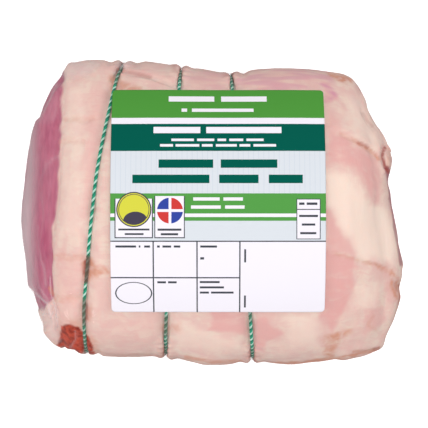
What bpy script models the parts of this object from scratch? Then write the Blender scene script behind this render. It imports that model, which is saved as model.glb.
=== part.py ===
"""A boned half leg of lamb, rolled and tied with three loops of twine, in tight clear film with a label.

The joint lies on its broad side, label up. X runs along the roll, from the large cut end at -X
to the small end at +X, Y runs across it from front to back, and Z is up from the surface under it.
Run it with: blender --background --python part.py
"""

import math

import bmesh
import bpy
import numpy as np
from mathutils import Vector, noise

MM = 0.001

# The joint
JOINT_WIDTH = 121 * MM
JOINT_HEIGHT = 70 * MM
EQUATOR_HEIGHT = 29 * MM  # where the soft roll is widest
UPPER_POWER = 2.12  # how square the section is above the equator
LOWER_POWER = 2.5  # and below it
BASE_CUT = 2.6 * MM  # how much of the round underside the table flattens
FACE_POWER = 2.4  # how quickly a cut face leaves its rim
END_RINGS = 7

# The tying
TWINE_THICKNESS = 1.5 * MM
TWINE_SINK = 0.95 * MM  # how far the twine's centre lies under the skin
SIDE_SINK = 0.8 * MM  # how much deeper it cuts in at the sides
TWINE_GAP = 0.35 * MM
GROOVE_REACH = 3.2 * MM  # half the width of the groove that the twine presses
WAIST_REACH = 7 * MM

# The label
LABEL_WIDTH = 80 * MM
LABEL_DEPTH = 84 * MM  # seen from above; it is about 90 mm along its curve
LABEL_CENTRE = (1.5 * MM, 4.9 * MM)
LABEL_CORNER = 2.8 * MM
LABEL_THICKNESS = 0.25 * MM
LABEL_LIFT = 0.6 * MM
LABEL_CALM = 13 * MM  # how far outside the label the skin stays free of lumps

AROUND = 56  # points round each ring

# Places along the roll: 0 is the large end's rim of fat, 1 the small end's.
TWINE_STATIONS = (0.14, 0.36, 0.56)
# The left twine seen from above, as (place across the roll, X in mm): -1 is the front and 1 the back.
LEFT_TWINE = (
    (-1, -50.3), (-0.8, -49.8), (-0.6, -49.2), (-0.35, -47.8), (0, -45.8), (0.25, -44.2), (0.47, -42),
    (0.7, -39.4), (0.88, -37.4), (1, -35.3),
)
# How far the sides reach from the axis, in mm, as (station, reach).
BACK_REACH = (
    (0, 57), (0.015, 59.4), (0.05, 60.4), (0.2, 60.6), (0.36, 58.8), (0.56, 56.4),
    (0.68, 57.6), (0.82, 57.6), (0.93, 56), (0.985, 54), (1, 51.5),
)
FRONT_REACH = (
    (0, 53.6), (0.015, 54.8), (0.14, 56.2), (0.27, 56.8), (0.36, 57.2), (0.46, 59.4), (0.56, 58.8),
    (0.68, 59.6), (0.82, 57.5), (0.93, 55.2), (0.985, 53.2), (1, 51.2),
)
# Height of the crest and of the underside, in mm.
CREST = ((0, 57), (0.015, 59.5), (0.07, 63.5), (0.2, 68.2), (0.5, 69.6), (0.72, 70), (0.86, 66.5), (0.985, 56), (1, 53))
UNDERSIDE = ((0, 5), (0.015, 3.6), (0.12, 0), (0.5, 0), (0.88, 0), (0.985, 4), (1, 6))
# The ends seen from above, as (place across the roll, X in mm): -1 is the front and 1 the back.
LARGE_FACE = (
    (-1, -60), (-0.9, -65), (-0.79, -67.8), (-0.67, -70.4), (-0.45, -73.1), (-0.22, -75.2), (0, -75.9),
    (0.15, -74.6), (0.3, -73.6), (0.5, -73), (0.63, -71), (0.74, -68.5), (0.85, -65.2), (0.93, -61.6), (1, -58.8),
)
SMALL_RIM = ((-1, 64.2), (-0.6, 64.6), (-0.33, 65), (0, 62.5), (0.4, 61), (0.6, 59.5), (0.8, 57.5), (1, 56.2))
SMALL_FACE = (
    (-1, 64.4), (-0.9, 66.4), (-0.8, 68.3), (-0.68, 70), (-0.46, 72.7), (-0.34, 72.9), (-0.1, 71.4), (0.05, 69.8),
    (0.2, 69.4), (0.34, 69.9), (0.5, 69.8), (0.61, 66.2), (0.72, 62.2), (0.85, 59.8), (1, 56.4),
)


def smooth_through(stations, at):
    """A smooth curve through (place, value) stations, without overshoot, read at the places given."""
    x, y = (np.array(column, float) for column in zip(*stations))
    slope = np.diff(y) / np.diff(x)
    tangent = np.concatenate([[slope[0]], (slope[:-1] + slope[1:]) / 2, [slope[-1]]])
    turns = np.concatenate([[False], slope[:-1] * slope[1:] <= 0, [False]])
    tangent[turns] = 0
    at = np.clip(at, x[0], x[-1])
    i = np.clip(np.searchsorted(x, at, side="right") - 1, 0, len(x) - 2)
    width = x[i + 1] - x[i]
    t = (at - x[i]) / width
    start = (2 * t**3 - 3 * t**2 + 1) * y[i] + (t**3 - 2 * t**2 + t) * width * tangent[i]
    end = (3 * t**2 - 2 * t**3) * y[i + 1] + (t**3 - t**2) * width * tangent[i + 1]
    return start + end


def guide_lines(across):
    """X of the large rim, of the three twines and of the small rim, where across runs from -1 to 1."""
    large_rim = -58.2 - 3.4 * np.exp(-(((across + 0.35) / 0.42) ** 2))
    twines = (
        smooth_through(LEFT_TWINE, across),
        -15.9 + 3.2 * across,
        10.8 - 4.3 * across,
    )
    return [large_rim * MM, *(x * MM for x in twines), smooth_through(SMALL_RIM, across) * MM]


def along(station, across):
    """X of a ring, eased from guide line to guide line so that the rings follow the twines."""
    places = np.array([0, *TWINE_STATIONS, 1])
    lines = np.stack(guide_lines(across))
    i = int(np.clip(np.searchsorted(places, station, side="right") - 1, 0, len(places) - 2))
    share = (station - places[i]) / (places[i + 1] - places[i])
    return lines[i] * (1 - share) + lines[i + 1] * share


def section(station, angles):
    """Y and Z of a ring: an upright oval, squarer below, whose two sides have their own reach."""
    cosine, sine = np.cos(angles), np.sin(angles)
    power = np.where(sine >= 0, UPPER_POWER, LOWER_POWER)
    flat = np.sign(cosine) * np.abs(cosine) ** (2 / power)
    rise = np.sign(sine) * np.abs(sine) ** (2 / power)
    back = float(smooth_through(BACK_REACH, station)) * MM
    front = float(smooth_through(FRONT_REACH, station)) * MM
    crest = float(smooth_through(CREST, station)) * MM
    under = float(smooth_through(UNDERSIDE, station)) * MM - BASE_CUT
    across = np.where(flat >= 0, flat * back, flat * front)
    height = np.where(rise >= 0, rise * (crest - EQUATOR_HEIGHT), rise * (EQUATOR_HEIGHT - under))
    return across, EQUATOR_HEIGHT + height, flat


def ring_stations():
    """Places of the rings: close together beside each twine, where the groove bends, and wide elsewhere."""
    places = set(np.linspace(0, 1, 21).round(4)) | {0.015, 0.985}
    reach = 0.034
    for station in TWINE_STATIONS:
        places = {p for p in places if abs(p - station) > 1.6 * reach}
        places |= {station + share * reach for share in (-1.25, -0.75, -0.45, -0.2, 0, 0.2, 0.45, 0.75, 1.25)}
    return sorted(places)


def end_rings(rim, angles, flat, face):
    """Rings that close an end: the rim shrinks to a point as the face swells out to its outline."""
    centre = rim.mean(axis=0)
    rings = []
    for step in range(1, END_RINGS):
        radius = math.cos(step / END_RINGS * math.pi / 2)
        ring = centre + (rim - centre) * radius
        outline = smooth_through(face, radius * flat) * MM
        swell = (1 - radius**FACE_POWER) ** (0.75 * np.sin(angles) ** 2)
        ring[:, 0] = rim[:, 0] + (outline - rim[:, 0]) * swell
        rings.append(ring)
    return rings


def joint_points():
    """Every ring of the joint as an array (ring, point, XYZ), with the station of each ring."""
    angles = np.linspace(0, 2 * math.pi, AROUND, endpoint=False)
    stations = ring_stations()
    body = []
    for station in stations:
        across, height, flat = section(station, angles)
        body.append(np.stack([along(station, flat), across, height], axis=1))
    large = end_rings(body[0], angles, flat, LARGE_FACE)
    small = end_rings(body[-1], angles, flat, SMALL_FACE)
    rings = np.array(large[::-1] + body + small)
    places = [-1.0] * len(large) + stations + [2.0] * len(small)
    return rings, np.array(places)


def outward(rings):
    """Unit normals of the grid of rings."""
    lengthwise = np.gradient(rings, axis=0)
    round_it = np.roll(rings, -1, axis=1) - np.roll(rings, 1, axis=1)
    normal = np.cross(round_it, lengthwise)
    return normal / np.linalg.norm(normal, axis=2, keepdims=True)


def under_label(points):
    """1 where the label lies, easing to 0 outside it."""
    beyond_x = np.abs(points[..., 0] - LABEL_CENTRE[0]) - LABEL_WIDTH / 2
    beyond_y = np.abs(points[..., 1] - LABEL_CENTRE[1]) - LABEL_DEPTH / 2
    beyond = np.maximum(beyond_x, beyond_y)
    share = np.clip(1 - beyond / LABEL_CALM, 0, 1)
    return share * share * (3 - 2 * share) * (points[..., 2] > EQUATOR_HEIGHT)


def twine_distances(points):
    """Distance along X from each point to each of the three twines."""
    across = np.clip(points[..., 1] / (JOINT_WIDTH / 2), -1, 1)
    return [np.abs(points[..., 0] - line) for line in guide_lines(across)[1:-1]]


def sideways(points):
    """0 along the crest, rising to 1 at the front and the back."""
    return np.abs(np.clip(points[..., 1] / (JOINT_WIDTH / 2), -1, 1)) ** 3


def waist(points):
    """How far the tied roll draws in beside each twine: a wide shallow dip, deeper at the sides."""
    side = sideways(points)
    dips = [np.exp(-((distance / WAIST_REACH) ** 2)) for distance in twine_distances(points)]
    return sum(dips) * (0.4 + 0.5 * side) * MM


def sink(points):
    """How far under the skin the centre of a twine lies."""
    return TWINE_SINK + SIDE_SINK * sideways(points)


def groove(points):
    """Depth of the grooves that the three twines press."""
    depth = sink(points) + TWINE_THICKNESS / 2 + TWINE_GAP
    shares = [np.clip(distance / GROOVE_REACH, 0, 1) for distance in twine_distances(points)]
    return np.max([depth * (1 - share**2) ** 2 for share in shares], axis=0)


def lumps(points):
    """Soft unevenness of the meat and its fat."""
    value = np.zeros(points.shape[:2])
    for place in np.ndindex(value.shape):
        where = Vector(points[place]) / MM
        value[place] = 1.3 * noise.noise(where / 26) + 0.5 * noise.noise(where / 11)
    return value * MM


def joint_surface():
    """The skin without its grooves, its normals and its stations."""
    rings, places = joint_points()
    normals = outward(rings)
    calm = 1 - under_label(rings)
    rings = rings + normals * (lumps(rings) * calm - waist(rings) * (0.35 + 0.65 * calm))[..., None]
    rings[..., 2] = np.maximum(rings[..., 2], 0)
    return rings, normals, places


def mesh_object(name, points, faces, collection, material):
    mesh = bpy.data.meshes.new(name)
    mesh.from_pydata([tuple(map(float, p)) for p in points], [], faces)
    mesh.materials.append(material)
    obj = bpy.data.objects.new(name, mesh)
    collection.objects.link(obj)
    bm = bmesh.new()
    bm.from_mesh(mesh)
    bmesh.ops.recalc_face_normals(bm, faces=bm.faces)
    bm.to_mesh(mesh)
    bm.free()
    mesh.shade_smooth()
    return obj


def loft(name, rings, collection, material):
    """A closed skin over the rings, with a fan at each end."""
    count, around = rings.shape[:2]
    faces = []
    for i in range(count - 1):
        for j in range(around):
            k = (j + 1) % around
            faces.append((i * around + j, (i + 1) * around + j, (i + 1) * around + k, i * around + k))
    points = list(rings.reshape(-1, 3))
    for ring, centre in ((0, len(points)), (count - 1, len(points) + 1)):
        points.append(rings[ring].mean(axis=0))
        for j in range(around):
            faces.append((ring * around + j, ring * around + (j + 1) % around, centre))
    return mesh_object(name, points, faces, collection, material)


def principled(name, colour, roughness):
    material = bpy.data.materials.new(name)
    material.use_nodes = True
    shader = material.node_tree.nodes["Principled BSDF"]
    shader.inputs["Base Color"].default_value = (*colour, 1)
    shader.inputs["Roughness"].default_value = roughness
    shader.inputs["Metallic"].default_value = 0
    return material


def new_collection(name):
    collection = bpy.data.collections.new(name)
    bpy.context.scene.collection.children.link(collection)
    return collection


def add_twine(name, path, collection, material):
    """A closed loop of twine along the points of one ring."""
    curve = bpy.data.curves.new(name, "CURVE")
    curve.dimensions = "3D"
    curve.bevel_depth = TWINE_THICKNESS / 2
    curve.bevel_resolution = 1
    curve.materials.append(material)
    spline = curve.splines.new("POLY")
    spline.points.add(len(path) - 1)
    for place, point in zip(spline.points, path):
        place.co = (*map(float, point), 1)
    spline.use_cyclic_u = True
    twine = bpy.data.objects.new(name, curve)
    collection.objects.link(twine)
    return twine


def label_line(reach, count):
    """Places across half the label's size either way, with a closer one beside each edge for the corner."""
    inner = np.linspace(-reach + LABEL_CORNER, reach - LABEL_CORNER, count)
    return np.array([-reach, -reach + 0.3 * LABEL_CORNER, *inner, reach - 0.3 * LABEL_CORNER, reach])


def add_label(collection, skin, material):
    """A sheet with round corners, laid down on the skin from above."""
    half = np.array([LABEL_WIDTH, LABEL_DEPTH]) / 2
    across, along_it = label_line(half[0], 17), label_line(half[1], 19)
    points = []
    for x in across:
        for y in along_it:
            flat = np.array([x, y])
            beyond = np.maximum(np.abs(flat) - half + LABEL_CORNER, 0)
            if beyond.all():
                flat -= np.sign(flat) * beyond * max(0, 1 - LABEL_CORNER / np.hypot(*beyond))
            points.append((*(flat + LABEL_CENTRE), JOINT_HEIGHT * 1.3))
    rows = len(along_it)
    faces = [
        (i * rows + j, (i + 1) * rows + j, (i + 1) * rows + j + 1, i * rows + j + 1)
        for i in range(len(across) - 1)
        for j in range(rows - 1)
    ]
    label = mesh_object("label", points, faces, collection, material)
    wrap = label.modifiers.new("lie_on_skin", "SHRINKWRAP")
    wrap.target = skin
    wrap.wrap_method = "PROJECT"
    wrap.use_project_x = wrap.use_project_y = False
    wrap.use_project_z = True
    wrap.use_negative_direction = True
    wrap.use_positive_direction = False
    wrap.offset = LABEL_LIFT
    sheet = label.modifiers.new("thickness", "SOLIDIFY")
    sheet.thickness = LABEL_THICKNESS
    sheet.offset = 1


def build():
    for obj in list(bpy.data.objects):
        bpy.data.objects.remove(obj)
    part = new_collection("tied_lamb_half_leg")
    guides = new_collection("guides")
    fat = principled("lamb_fat_in_film", (0.80, 0.58, 0.49), 0.35)
    green = principled("green_twine", (0.05, 0.40, 0.28), 0.8)
    paper = principled("label_paper", (0.85, 0.87, 0.90), 0.45)

    skin, normals, places = joint_surface()
    loft("wrapped_lamb", skin - normals * groove(skin)[..., None], part, fat)

    guide = loft("skin_guide", skin, guides, fat)
    guide.hide_render = True
    guide.display_type = "WIRE"

    for name, station in zip(("twine_left", "twine_middle", "twine_right"), TWINE_STATIONS):
        ring = int(np.argmin(np.abs(places - station)))
        add_twine(name, skin[ring] - normals[ring] * sink(skin[ring])[:, None], part, green)

    add_label(part, guide, paper)

    # The origin goes under the middle of the joint's outline.
    outline = skin.reshape(-1, 3)[:, :2]
    middle = (outline.min(axis=0) + outline.max(axis=0)) / 2
    for obj in (*part.objects, *guides.objects):
        obj.location = (-middle[0], -middle[1], 0)


build()
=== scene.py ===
# %% [markdown]
# # A tied half leg of lamb in clear film
#
# The object is a raw half leg of lamb, boned, rolled, and tied with three loops of green and white
# twine. It is shrink-wrapped in clear film, and a square printed label is stuck on top. This lesson
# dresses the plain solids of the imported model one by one: first the meat, then the twine, the film
# and the label. Each piece is worked out from the solid that it stands for, so that it fits.

import math

import bmesh
import bpy
import numpy as np
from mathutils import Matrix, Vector, noise
from mathutils.bvhtree import BVHTree
from mathutils.kdtree import KDTree


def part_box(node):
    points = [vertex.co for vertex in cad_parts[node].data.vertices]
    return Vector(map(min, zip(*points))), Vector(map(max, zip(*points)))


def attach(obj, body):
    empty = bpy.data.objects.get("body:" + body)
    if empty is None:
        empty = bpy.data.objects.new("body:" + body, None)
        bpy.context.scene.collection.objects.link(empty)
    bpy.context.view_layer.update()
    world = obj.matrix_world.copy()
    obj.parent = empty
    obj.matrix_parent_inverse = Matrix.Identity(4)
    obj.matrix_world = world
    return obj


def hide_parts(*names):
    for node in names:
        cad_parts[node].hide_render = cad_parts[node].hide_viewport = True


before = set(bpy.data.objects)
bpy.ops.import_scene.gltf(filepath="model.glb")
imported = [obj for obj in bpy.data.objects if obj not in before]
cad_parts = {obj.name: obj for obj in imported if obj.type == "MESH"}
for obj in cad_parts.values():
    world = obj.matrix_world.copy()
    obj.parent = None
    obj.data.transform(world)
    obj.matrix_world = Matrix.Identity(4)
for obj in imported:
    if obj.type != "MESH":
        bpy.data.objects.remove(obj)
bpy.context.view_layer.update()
MM = 0.001
TWINES = ("twine_left", "twine_middle", "twine_right")
joint_low, joint_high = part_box("wrapped_lamb")
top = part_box("label")[1].z
print("joint is", [round((b - a) / MM) for a, b in zip(joint_low, joint_high)], "mm")

# %% [markdown]
# ## The camera
#
# The photograph was taken from straight above, square to the label. A camera that looks straight
# down needs no turning. The label is 216 pixels wide in the photograph and 80 mm wide in life,
# so one pixel is 0.37 mm at the label's height. The label's front and back edges, which lie lower,
# look a little narrower, and that tells how far away the camera was: about 600 mm.

# %% Put the camera over the label
PHOTO_PIXELS = 428
PIXEL = 0.37 * MM  # at the height of the label's top
CAMERA_HEIGHT = 600 * MM  # above the label's top
LABEL_OFFSET = (1.5 * MM, 4.9 * MM)  # of the label's middle from the middle of the photograph

label_low, label_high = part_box("label")
label_middle = (label_low + label_high) / 2
photo_centre = np.array(label_middle[:2]) - LABEL_OFFSET
camera_data = bpy.data.cameras.new("camera")
camera = bpy.data.objects.new("camera", camera_data)
bpy.context.scene.collection.objects.link(camera)
camera.location = (*photo_centre, top + CAMERA_HEIGHT)
camera_data.sensor_width = 36
camera_data.lens = camera_data.sensor_width * CAMERA_HEIGHT / (PHOTO_PIXELS * PIXEL)
camera_data.clip_start = 0.01
bpy.context.scene.camera = camera
print("lens", round(camera_data.lens, 1), "mm")


def seen_at(points):
    """Where points show in the photograph, in its pixels from the left and from the top."""
    scale = PIXEL * (CAMERA_HEIGHT + top - points[:, 2]) / CAMERA_HEIGHT
    across = PHOTO_PIXELS / 2 + (points[:, 0] - photo_centre[0]) / scale
    down = PHOTO_PIXELS / 2 - (points[:, 1] - photo_centre[1]) / scale
    return np.stack([across, down], axis=1)

# %% [markdown]
# ## Helpers for materials
#
# Colours are written as they look on a screen, and a shader wants them as amounts of light. Every
# material is built from nodes, so adding one is a single call here.

# %% Make the helpers
def srgb(code):
    """A colour such as "#50A030" as the linear numbers that a shader takes."""
    parts = [int(code[i : i + 2], 16) / 255 for i in (1, 3, 5)]
    return (*(c / 12.92 if c <= 0.04045 else ((c + 0.055) / 1.055) ** 2.4 for c in parts), 1)


def add_node(tree, kind, inputs=None, **settings):
    """Adds a shader node. An input takes a value, or another node's output to be joined to it."""
    made = tree.nodes.new("ShaderNode" + kind)
    for name, value in settings.items():
        setattr(made, name, value)
    for name, value in (inputs or {}).items():
        if isinstance(value, bpy.types.NodeSocket):
            tree.links.new(value, made.inputs[name])
        else:
            made.inputs[name].default_value = value
    return made


def new_finish(name, roughness, specular=0.5):
    """A new material, with its node tree and its main shader."""
    material = bpy.data.materials.new(name)
    material.use_nodes = True
    shader = material.node_tree.nodes["Principled BSDF"]
    shader.inputs["Roughness"].default_value = roughness
    shader.inputs["Specular IOR Level"].default_value = specular
    return material, material.node_tree, shader


def sharpen(tree, value, low, high):
    """Stretches the part of a value from low to high over 0 to 1, smoothly."""
    inputs = {"Value": value, "From Min": low, "From Max": high}
    return add_node(tree, "MapRange", inputs, interpolation_type="SMOOTHSTEP").outputs["Result"]


print("mid grey on a screen is", round(srgb("#808080")[0], 2), "of full light")

# %% [markdown]
# ## Light
#
# A pack is photographed in a white tent, so the light is soft and comes from above and all sides.
# The world gives the tent: bright overhead and a little dimmer below, so that the rim of the joint
# turns darker as it does in the photograph. Four lamps behind the cloth give the light some
# direction. The cloth hides them, so the film doesn't mirror them. One small bare lamp near the
# front left corner makes the film glint where it is crumpled.

# %% Build the tent
TENT_OVERHEAD, TENT_BELOW = 0.56, 0.4
TENT_WHITE = (1, 0.99, 0.98, 1)

scene = bpy.context.scene
scene.view_settings.view_transform = "Standard"
scene.world = bpy.data.worlds.new("tent")
scene.world.use_nodes = True
tree = scene.world.node_tree
tent = tree.nodes["Background"]
tent.inputs["Color"].default_value = TENT_WHITE
direction = add_node(tree, "TexCoord").outputs["Generated"]
overhead = sharpen(tree, add_node(tree, "SeparateXYZ", {0: direction}).outputs[2], -0.2, 0.3)
inputs = {0: overhead, 1: TENT_OVERHEAD - TENT_BELOW, 2: TENT_BELOW}
strength = add_node(tree, "Math", inputs, operation="MULTIPLY_ADD").outputs[0]
tree.links.new(strength, tent.inputs["Strength"])
print("the tent has", len(tree.nodes), "nodes")

# %% Hang the lamps
LAMPS = (
    # name, place in metres, power in watts
    ("lamp_front", (-0.1, -0.6, 0.6), 1.6),
    ("lamp_back", (0.15, 0.6, 0.6), 1.9),
    ("lamp_left", (-0.65, 0, 0.55), 1.75),
    ("lamp_right", (0.65, 0, 0.55), 1.6),
)
LAMP_SIZE, GLINT_SIZE = 0.3, 0.2
GLINT_PLACE, GLINT_POWER = (-0.6, -0.65, 0.22), 0.5


def add_lamp(name, place, size, power, mirrored=False):
    """A square lamp that points at the middle of the joint, and may show in glossy surfaces."""
    data = bpy.data.lights.new(name, "AREA")
    data.size = size
    data.energy = power
    lamp = bpy.data.objects.new(name, data)
    lamp.location = place
    lamp.rotation_euler = (Vector((0, 0, top / 2)) - Vector(place)).to_track_quat("-Z", "Y").to_euler()
    lamp.visible_glossy = mirrored
    scene.collection.objects.link(lamp)


for name, place, power in LAMPS:
    add_lamp(name, place, LAMP_SIZE, power)
add_lamp("glint", GLINT_PLACE, GLINT_SIZE, GLINT_POWER, mirrored=True)
print("hung", len(bpy.data.lights), "lamps")

# %% [markdown]
# The floor is a plain pale sheet that also glows, as a light table does, so that the shadow round
# the joint stays faint. It throws no light back up at the joint, which would wash out its rim.

# %% Lay the floor
FLOOR_SIZE = 3
FLOOR_GLOW = 0.55

bpy.ops.mesh.primitive_plane_add(size=FLOOR_SIZE, location=(0, 0, 0))
floor = bpy.context.active_object
floor.name = "floor"
pale, tree, shader = new_finish("pale_floor", 0.9)
shader.inputs["Base Color"].default_value = srgb("#F6F6F6")
shader.inputs["Emission Color"].default_value = (1, 1, 1, 1)
shader.inputs["Emission Strength"].default_value = FLOOR_GLOW
floor.data.materials.append(pale)
floor.visible_diffuse = False
floor.visible_glossy = False
print("floor is", FLOOR_SIZE, "m wide")

# %% [markdown]
# ## The skin of the meat
#
# The plain solid has the joint's form, with a groove under each twine, but it has large flat facets.
# Modelling the meat by hand would lose the fit. Instead the solid is copied and remade from small
# even cubes (a voxel remesh), the steps are smoothed away, and each face is divided in four. That
# gives points less than a millimetre apart, enough to carve creases and folds.

# %% Remake the solid with small, even faces
SKIN_VOXEL = 1.7 * MM
STEP_ROUNDS = 5  # of smoothing, which take off the steps between the cubes


def evaluated_copy(obj, name):
    """A new object with the mesh that obj shows once its modifiers have run."""
    mesh = bpy.data.meshes.new_from_object(obj.evaluated_get(bpy.context.evaluated_depsgraph_get()))
    made = bpy.data.objects.new(name, mesh)
    scene.collection.objects.link(made)
    return made


def fine_skin(node, name):
    """A smooth, even copy of a plain solid."""
    rough = evaluated_copy(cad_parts[node], "rough_copy")
    rough.data.materials.clear()
    remesh = rough.modifiers.new("even_faces", "REMESH")
    remesh.mode = "VOXEL"
    remesh.voxel_size = SKIN_VOXEL
    relax = rough.modifiers.new("take_off_steps", "SMOOTH")
    relax.factor = 0.5
    relax.iterations = STEP_ROUNDS
    finer = rough.modifiers.new("finer", "SUBSURF")
    finer.levels = finer.render_levels = 1
    fine = evaluated_copy(rough, name)
    bpy.data.objects.remove(rough)
    fine.data.shade_smooth()
    return fine


lamb = fine_skin("wrapped_lamb", "lamb_meat")
print("meat has", len(lamb.data.polygons), "faces")

# %% [markdown]
# Smoothing pulls a rounded form inwards, most at the tight bends. So the distance back to the plain
# solid is measured at every point, evened out over the neighbours so that the solid's facets don't
# come back with it, and added again.

# %% Read the skin's points and their neighbours
def read_points(obj):
    """Places and normals of a mesh's points, as two arrays."""
    count = len(obj.data.vertices)
    places, normals = np.empty(count * 3), np.empty(count * 3)
    obj.data.vertices.foreach_get("co", places)
    obj.data.vertices.foreach_get("normal", normals)
    return places.reshape(-1, 3), normals.reshape(-1, 3)


def write_points(obj, places):
    """Moves a mesh's points to the places given."""
    obj.data.vertices.foreach_set("co", places.ravel())
    obj.data.update()


places, normals = read_points(lamb)
edges = np.empty(len(lamb.data.edges) * 2, int)
lamb.data.edges.foreach_get("vertices", edges)
edges = edges.reshape(-1, 2)
neighbours = np.bincount(edges.ravel(), minlength=len(places)).astype(float)
print("a point of the skin has up to", int(neighbours.max()), "neighbours")

# %% Bring the smoothed skin back out to the solid
FIT_ROUNDS = 40


def pull_smooth(value, rounds):
    """Moves every point's value towards the mean of its neighbours."""
    for _ in range(rounds):
        total = np.zeros_like(value)
        np.add.at(total, edges[:, 0], value[edges[:, 1]])
        np.add.at(total, edges[:, 1], value[edges[:, 0]])
        value = 0.5 * value + 0.5 * (total.T / neighbours).T
    return value


def surface_tree(node):
    """A search tree of a plain solid's faces, which finds the nearest place on them."""
    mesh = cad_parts[node].data
    corners = [tuple(v.co) for v in mesh.vertices]
    return BVHTree.FromPolygons(corners, [tuple(p.vertices) for p in mesh.polygons])


solid_tree = surface_tree("wrapped_lamb")
on_solid = np.array([solid_tree.find_nearest(Vector(place))[0] for place in places])
shrunk = pull_smooth(((on_solid - places) * normals).sum(axis=1), FIT_ROUNDS)
write_points(lamb, places + normals * shrunk[:, None])
print("smoothing had taken off up to", round(float(shrunk.max()) / MM, 1), "mm")

# %% [markdown]
# ## Where the twine runs
#
# The twine decides much of how the meat looks: juice gathers in its groove, the groove is painted
# darker where shade falls in it, and the film stands off beside it. The plain solid of a twine is
# a smooth tube, so its centre line is read off here, before anything is painted.

# %% Read a twine's centre line from its plain solid
TUBE_SIDES = 6  # corners of the plain tube's section
LOOP_POINTS = 900
LOOP_ROUNDS = 30  # of rounding off, which take away the plain tube's corners


def centre_line(node):
    """The closed line through the middle of a plain tube, in order round the joint."""
    points = np.array([tuple(v.co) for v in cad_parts[node].data.vertices])
    points = np.unique(points.round(7), axis=0)
    middle = points.mean(axis=0)
    turn = np.arctan2(points[:, 2] - middle[2], points[:, 1] - middle[1])
    points = points[np.argsort(turn)]
    whole = len(points) // TUBE_SIDES * TUBE_SIDES
    return points[:whole].reshape(-1, TUBE_SIDES, 3).mean(axis=1)


def even_loop(line):
    """A closed line read at evenly spaced places, rounded off between its corners."""
    closed = np.vstack([line[-2:], line, line[:3]])
    steps = np.linalg.norm(np.diff(closed, axis=0), axis=1)
    along = np.concatenate([[0], np.cumsum(steps)])
    start, end = along[2], along[2 + len(line)]
    at = np.linspace(start, end, LOOP_POINTS, endpoint=False)
    loop = np.stack([np.interp(at, along, closed[:, i]) for i in range(3)], axis=1)
    for _ in range(LOOP_ROUNDS):
        loop = loop * 0.5 + (np.roll(loop, 1, axis=0) + np.roll(loop, -1, axis=0)) * 0.25
    return loop


def length_round(loop):
    """Length of a closed line."""
    return np.linalg.norm(np.roll(loop, -1, axis=0) - loop, axis=1).sum()


loops = {name: even_loop(centre_line(name)) for name in TWINES}
for name, loop in loops.items():
    print(name, "is", round(length_round(loop) / MM), "mm round")

# %% Measure how far the skin is from the twine
tree_of_twine = KDTree(sum(len(loop) for loop in loops.values()))
for number, point in enumerate(np.vstack(list(loops.values()))):
    tree_of_twine.insert(point, number)
tree_of_twine.balance()


def from_twine(places, normals):
    """How far the nearest twine's centre is outward from each point, and how far to its side."""
    nearest = np.array([tree_of_twine.find(place)[0] for place in places])
    to_twine = nearest - places
    outward = (to_twine * normals).sum(axis=1)
    return outward, np.sqrt(np.maximum((to_twine**2).sum(axis=1) - outward**2, 0))


places, normals = read_points(lamb)
outward, aside = from_twine(places, normals)
print("a twine is within 3 mm of", round(100 * (aside < 3 * MM).mean()), "% of the skin")

# %% [markdown]
# ## Tools for carving and painting
#
# A joint of meat is uneven in two ways. Much of it is random, such as soft lumps, and smooth noise
# makes that. Some of it is particular to this joint, such as the fold at its small end or a patch
# of pink, and each of these is one mark: a short line on the photograph with a width, or a small
# shape. The same kind of mark can press a crease into the skin or paint a stain on it. Marks only
# reach the side that the camera sees, and noise takes over on the sides and underneath.

# %% Make smooth noise and soft edges
def lumpy(places, size, seed):
    """Smooth noise from about -1 to 1, with lumps of the size given."""
    shift = Vector((17.3, 5.1, 9.7)) * seed
    return np.array([noise.noise(Vector(place) / size + shift) for place in places])


def ease(share):
    """0 below 0, 1 above 1, and a smooth change between."""
    share = np.clip(share, 0, 1)
    return share * share * (3 - 2 * share)


def ramp(value, low, high):
    """0 where the value is at low, 1 where it is at high, and a smooth change between."""
    return ease((value - low) / (high - low))


def hump(value, middle, width):
    """1 where the value is at the middle, falling off to 0 in a bell curve on both sides."""
    return np.exp(-(((value - middle) / width) ** 2))


print("a quarter of the way from low to high a ramp is", ramp(0.25, 0, 1))

# %% Measure from points to a line
def from_line(seen, line):
    """Distance from each point to a line, its side of it, and how far it is past the line's ends."""
    line = np.array(line, float)
    best = np.full(len(seen), np.inf)
    side, past = np.zeros(len(seen)), np.zeros(len(seen))
    for start, end in zip(line, line[1:]):
        run = end - start
        whole = (seen - start) @ run / (run @ run)
        share = np.clip(whole, 0, 1)
        away = seen - start - share[:, None] * run
        distance = np.hypot(away[:, 0], away[:, 1])
        turn = run[0] * away[:, 1] - run[1] * away[:, 0]
        closer = distance < best
        best = np.where(closer, distance, best)
        side = np.where(closer, np.sign(turn), side)
        past = np.where(closer, np.abs(whole - share) * np.hypot(*run), past)
    return best, side, past


beside = from_line(np.array([[3, 4]]), ((0, 0), (3, 0)))
print("a point four beside a line's end is at distance", float(beside[0][0]))

# %% Make strokes and patches
def stroke(seen, line, width, soft):
    """1 within half the width of the line, easing to 0 over the soft edge."""
    distance = from_line(seen, line)[0]
    return 1 - ease((distance - width / 2) / soft)


def patch(seen, corners, soft):
    """1 inside a shape given by its corners, easing to 0 across its edge."""
    distance = from_line(seen, (*corners, corners[0]))[0]
    inside = np.zeros(len(seen), bool)
    for (x, y), (next_x, next_y) in zip(corners, (*corners[1:], corners[0])):
        crosses = (seen[:, 1] < y) != (seen[:, 1] < next_y)
        reach = x + (seen[:, 1] - y) / ((next_y - y) or 1) * (next_x - x)
        inside ^= crosses & (seen[:, 0] < reach)
    return ease(0.5 + np.where(inside, distance, -distance) / soft)


places, normals = read_points(lamb)
seen = seen_at(places)


def seen_from_above(normals):
    """1 where the camera sees the skin well, easing to 0 on the steep sides, where marks smear."""
    return ramp(normals[:, 2], 0.04, 0.24)


faces_up = seen_from_above(normals)
print("marks reach", round(100 * faces_up.mean()), "% of the skin")

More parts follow.
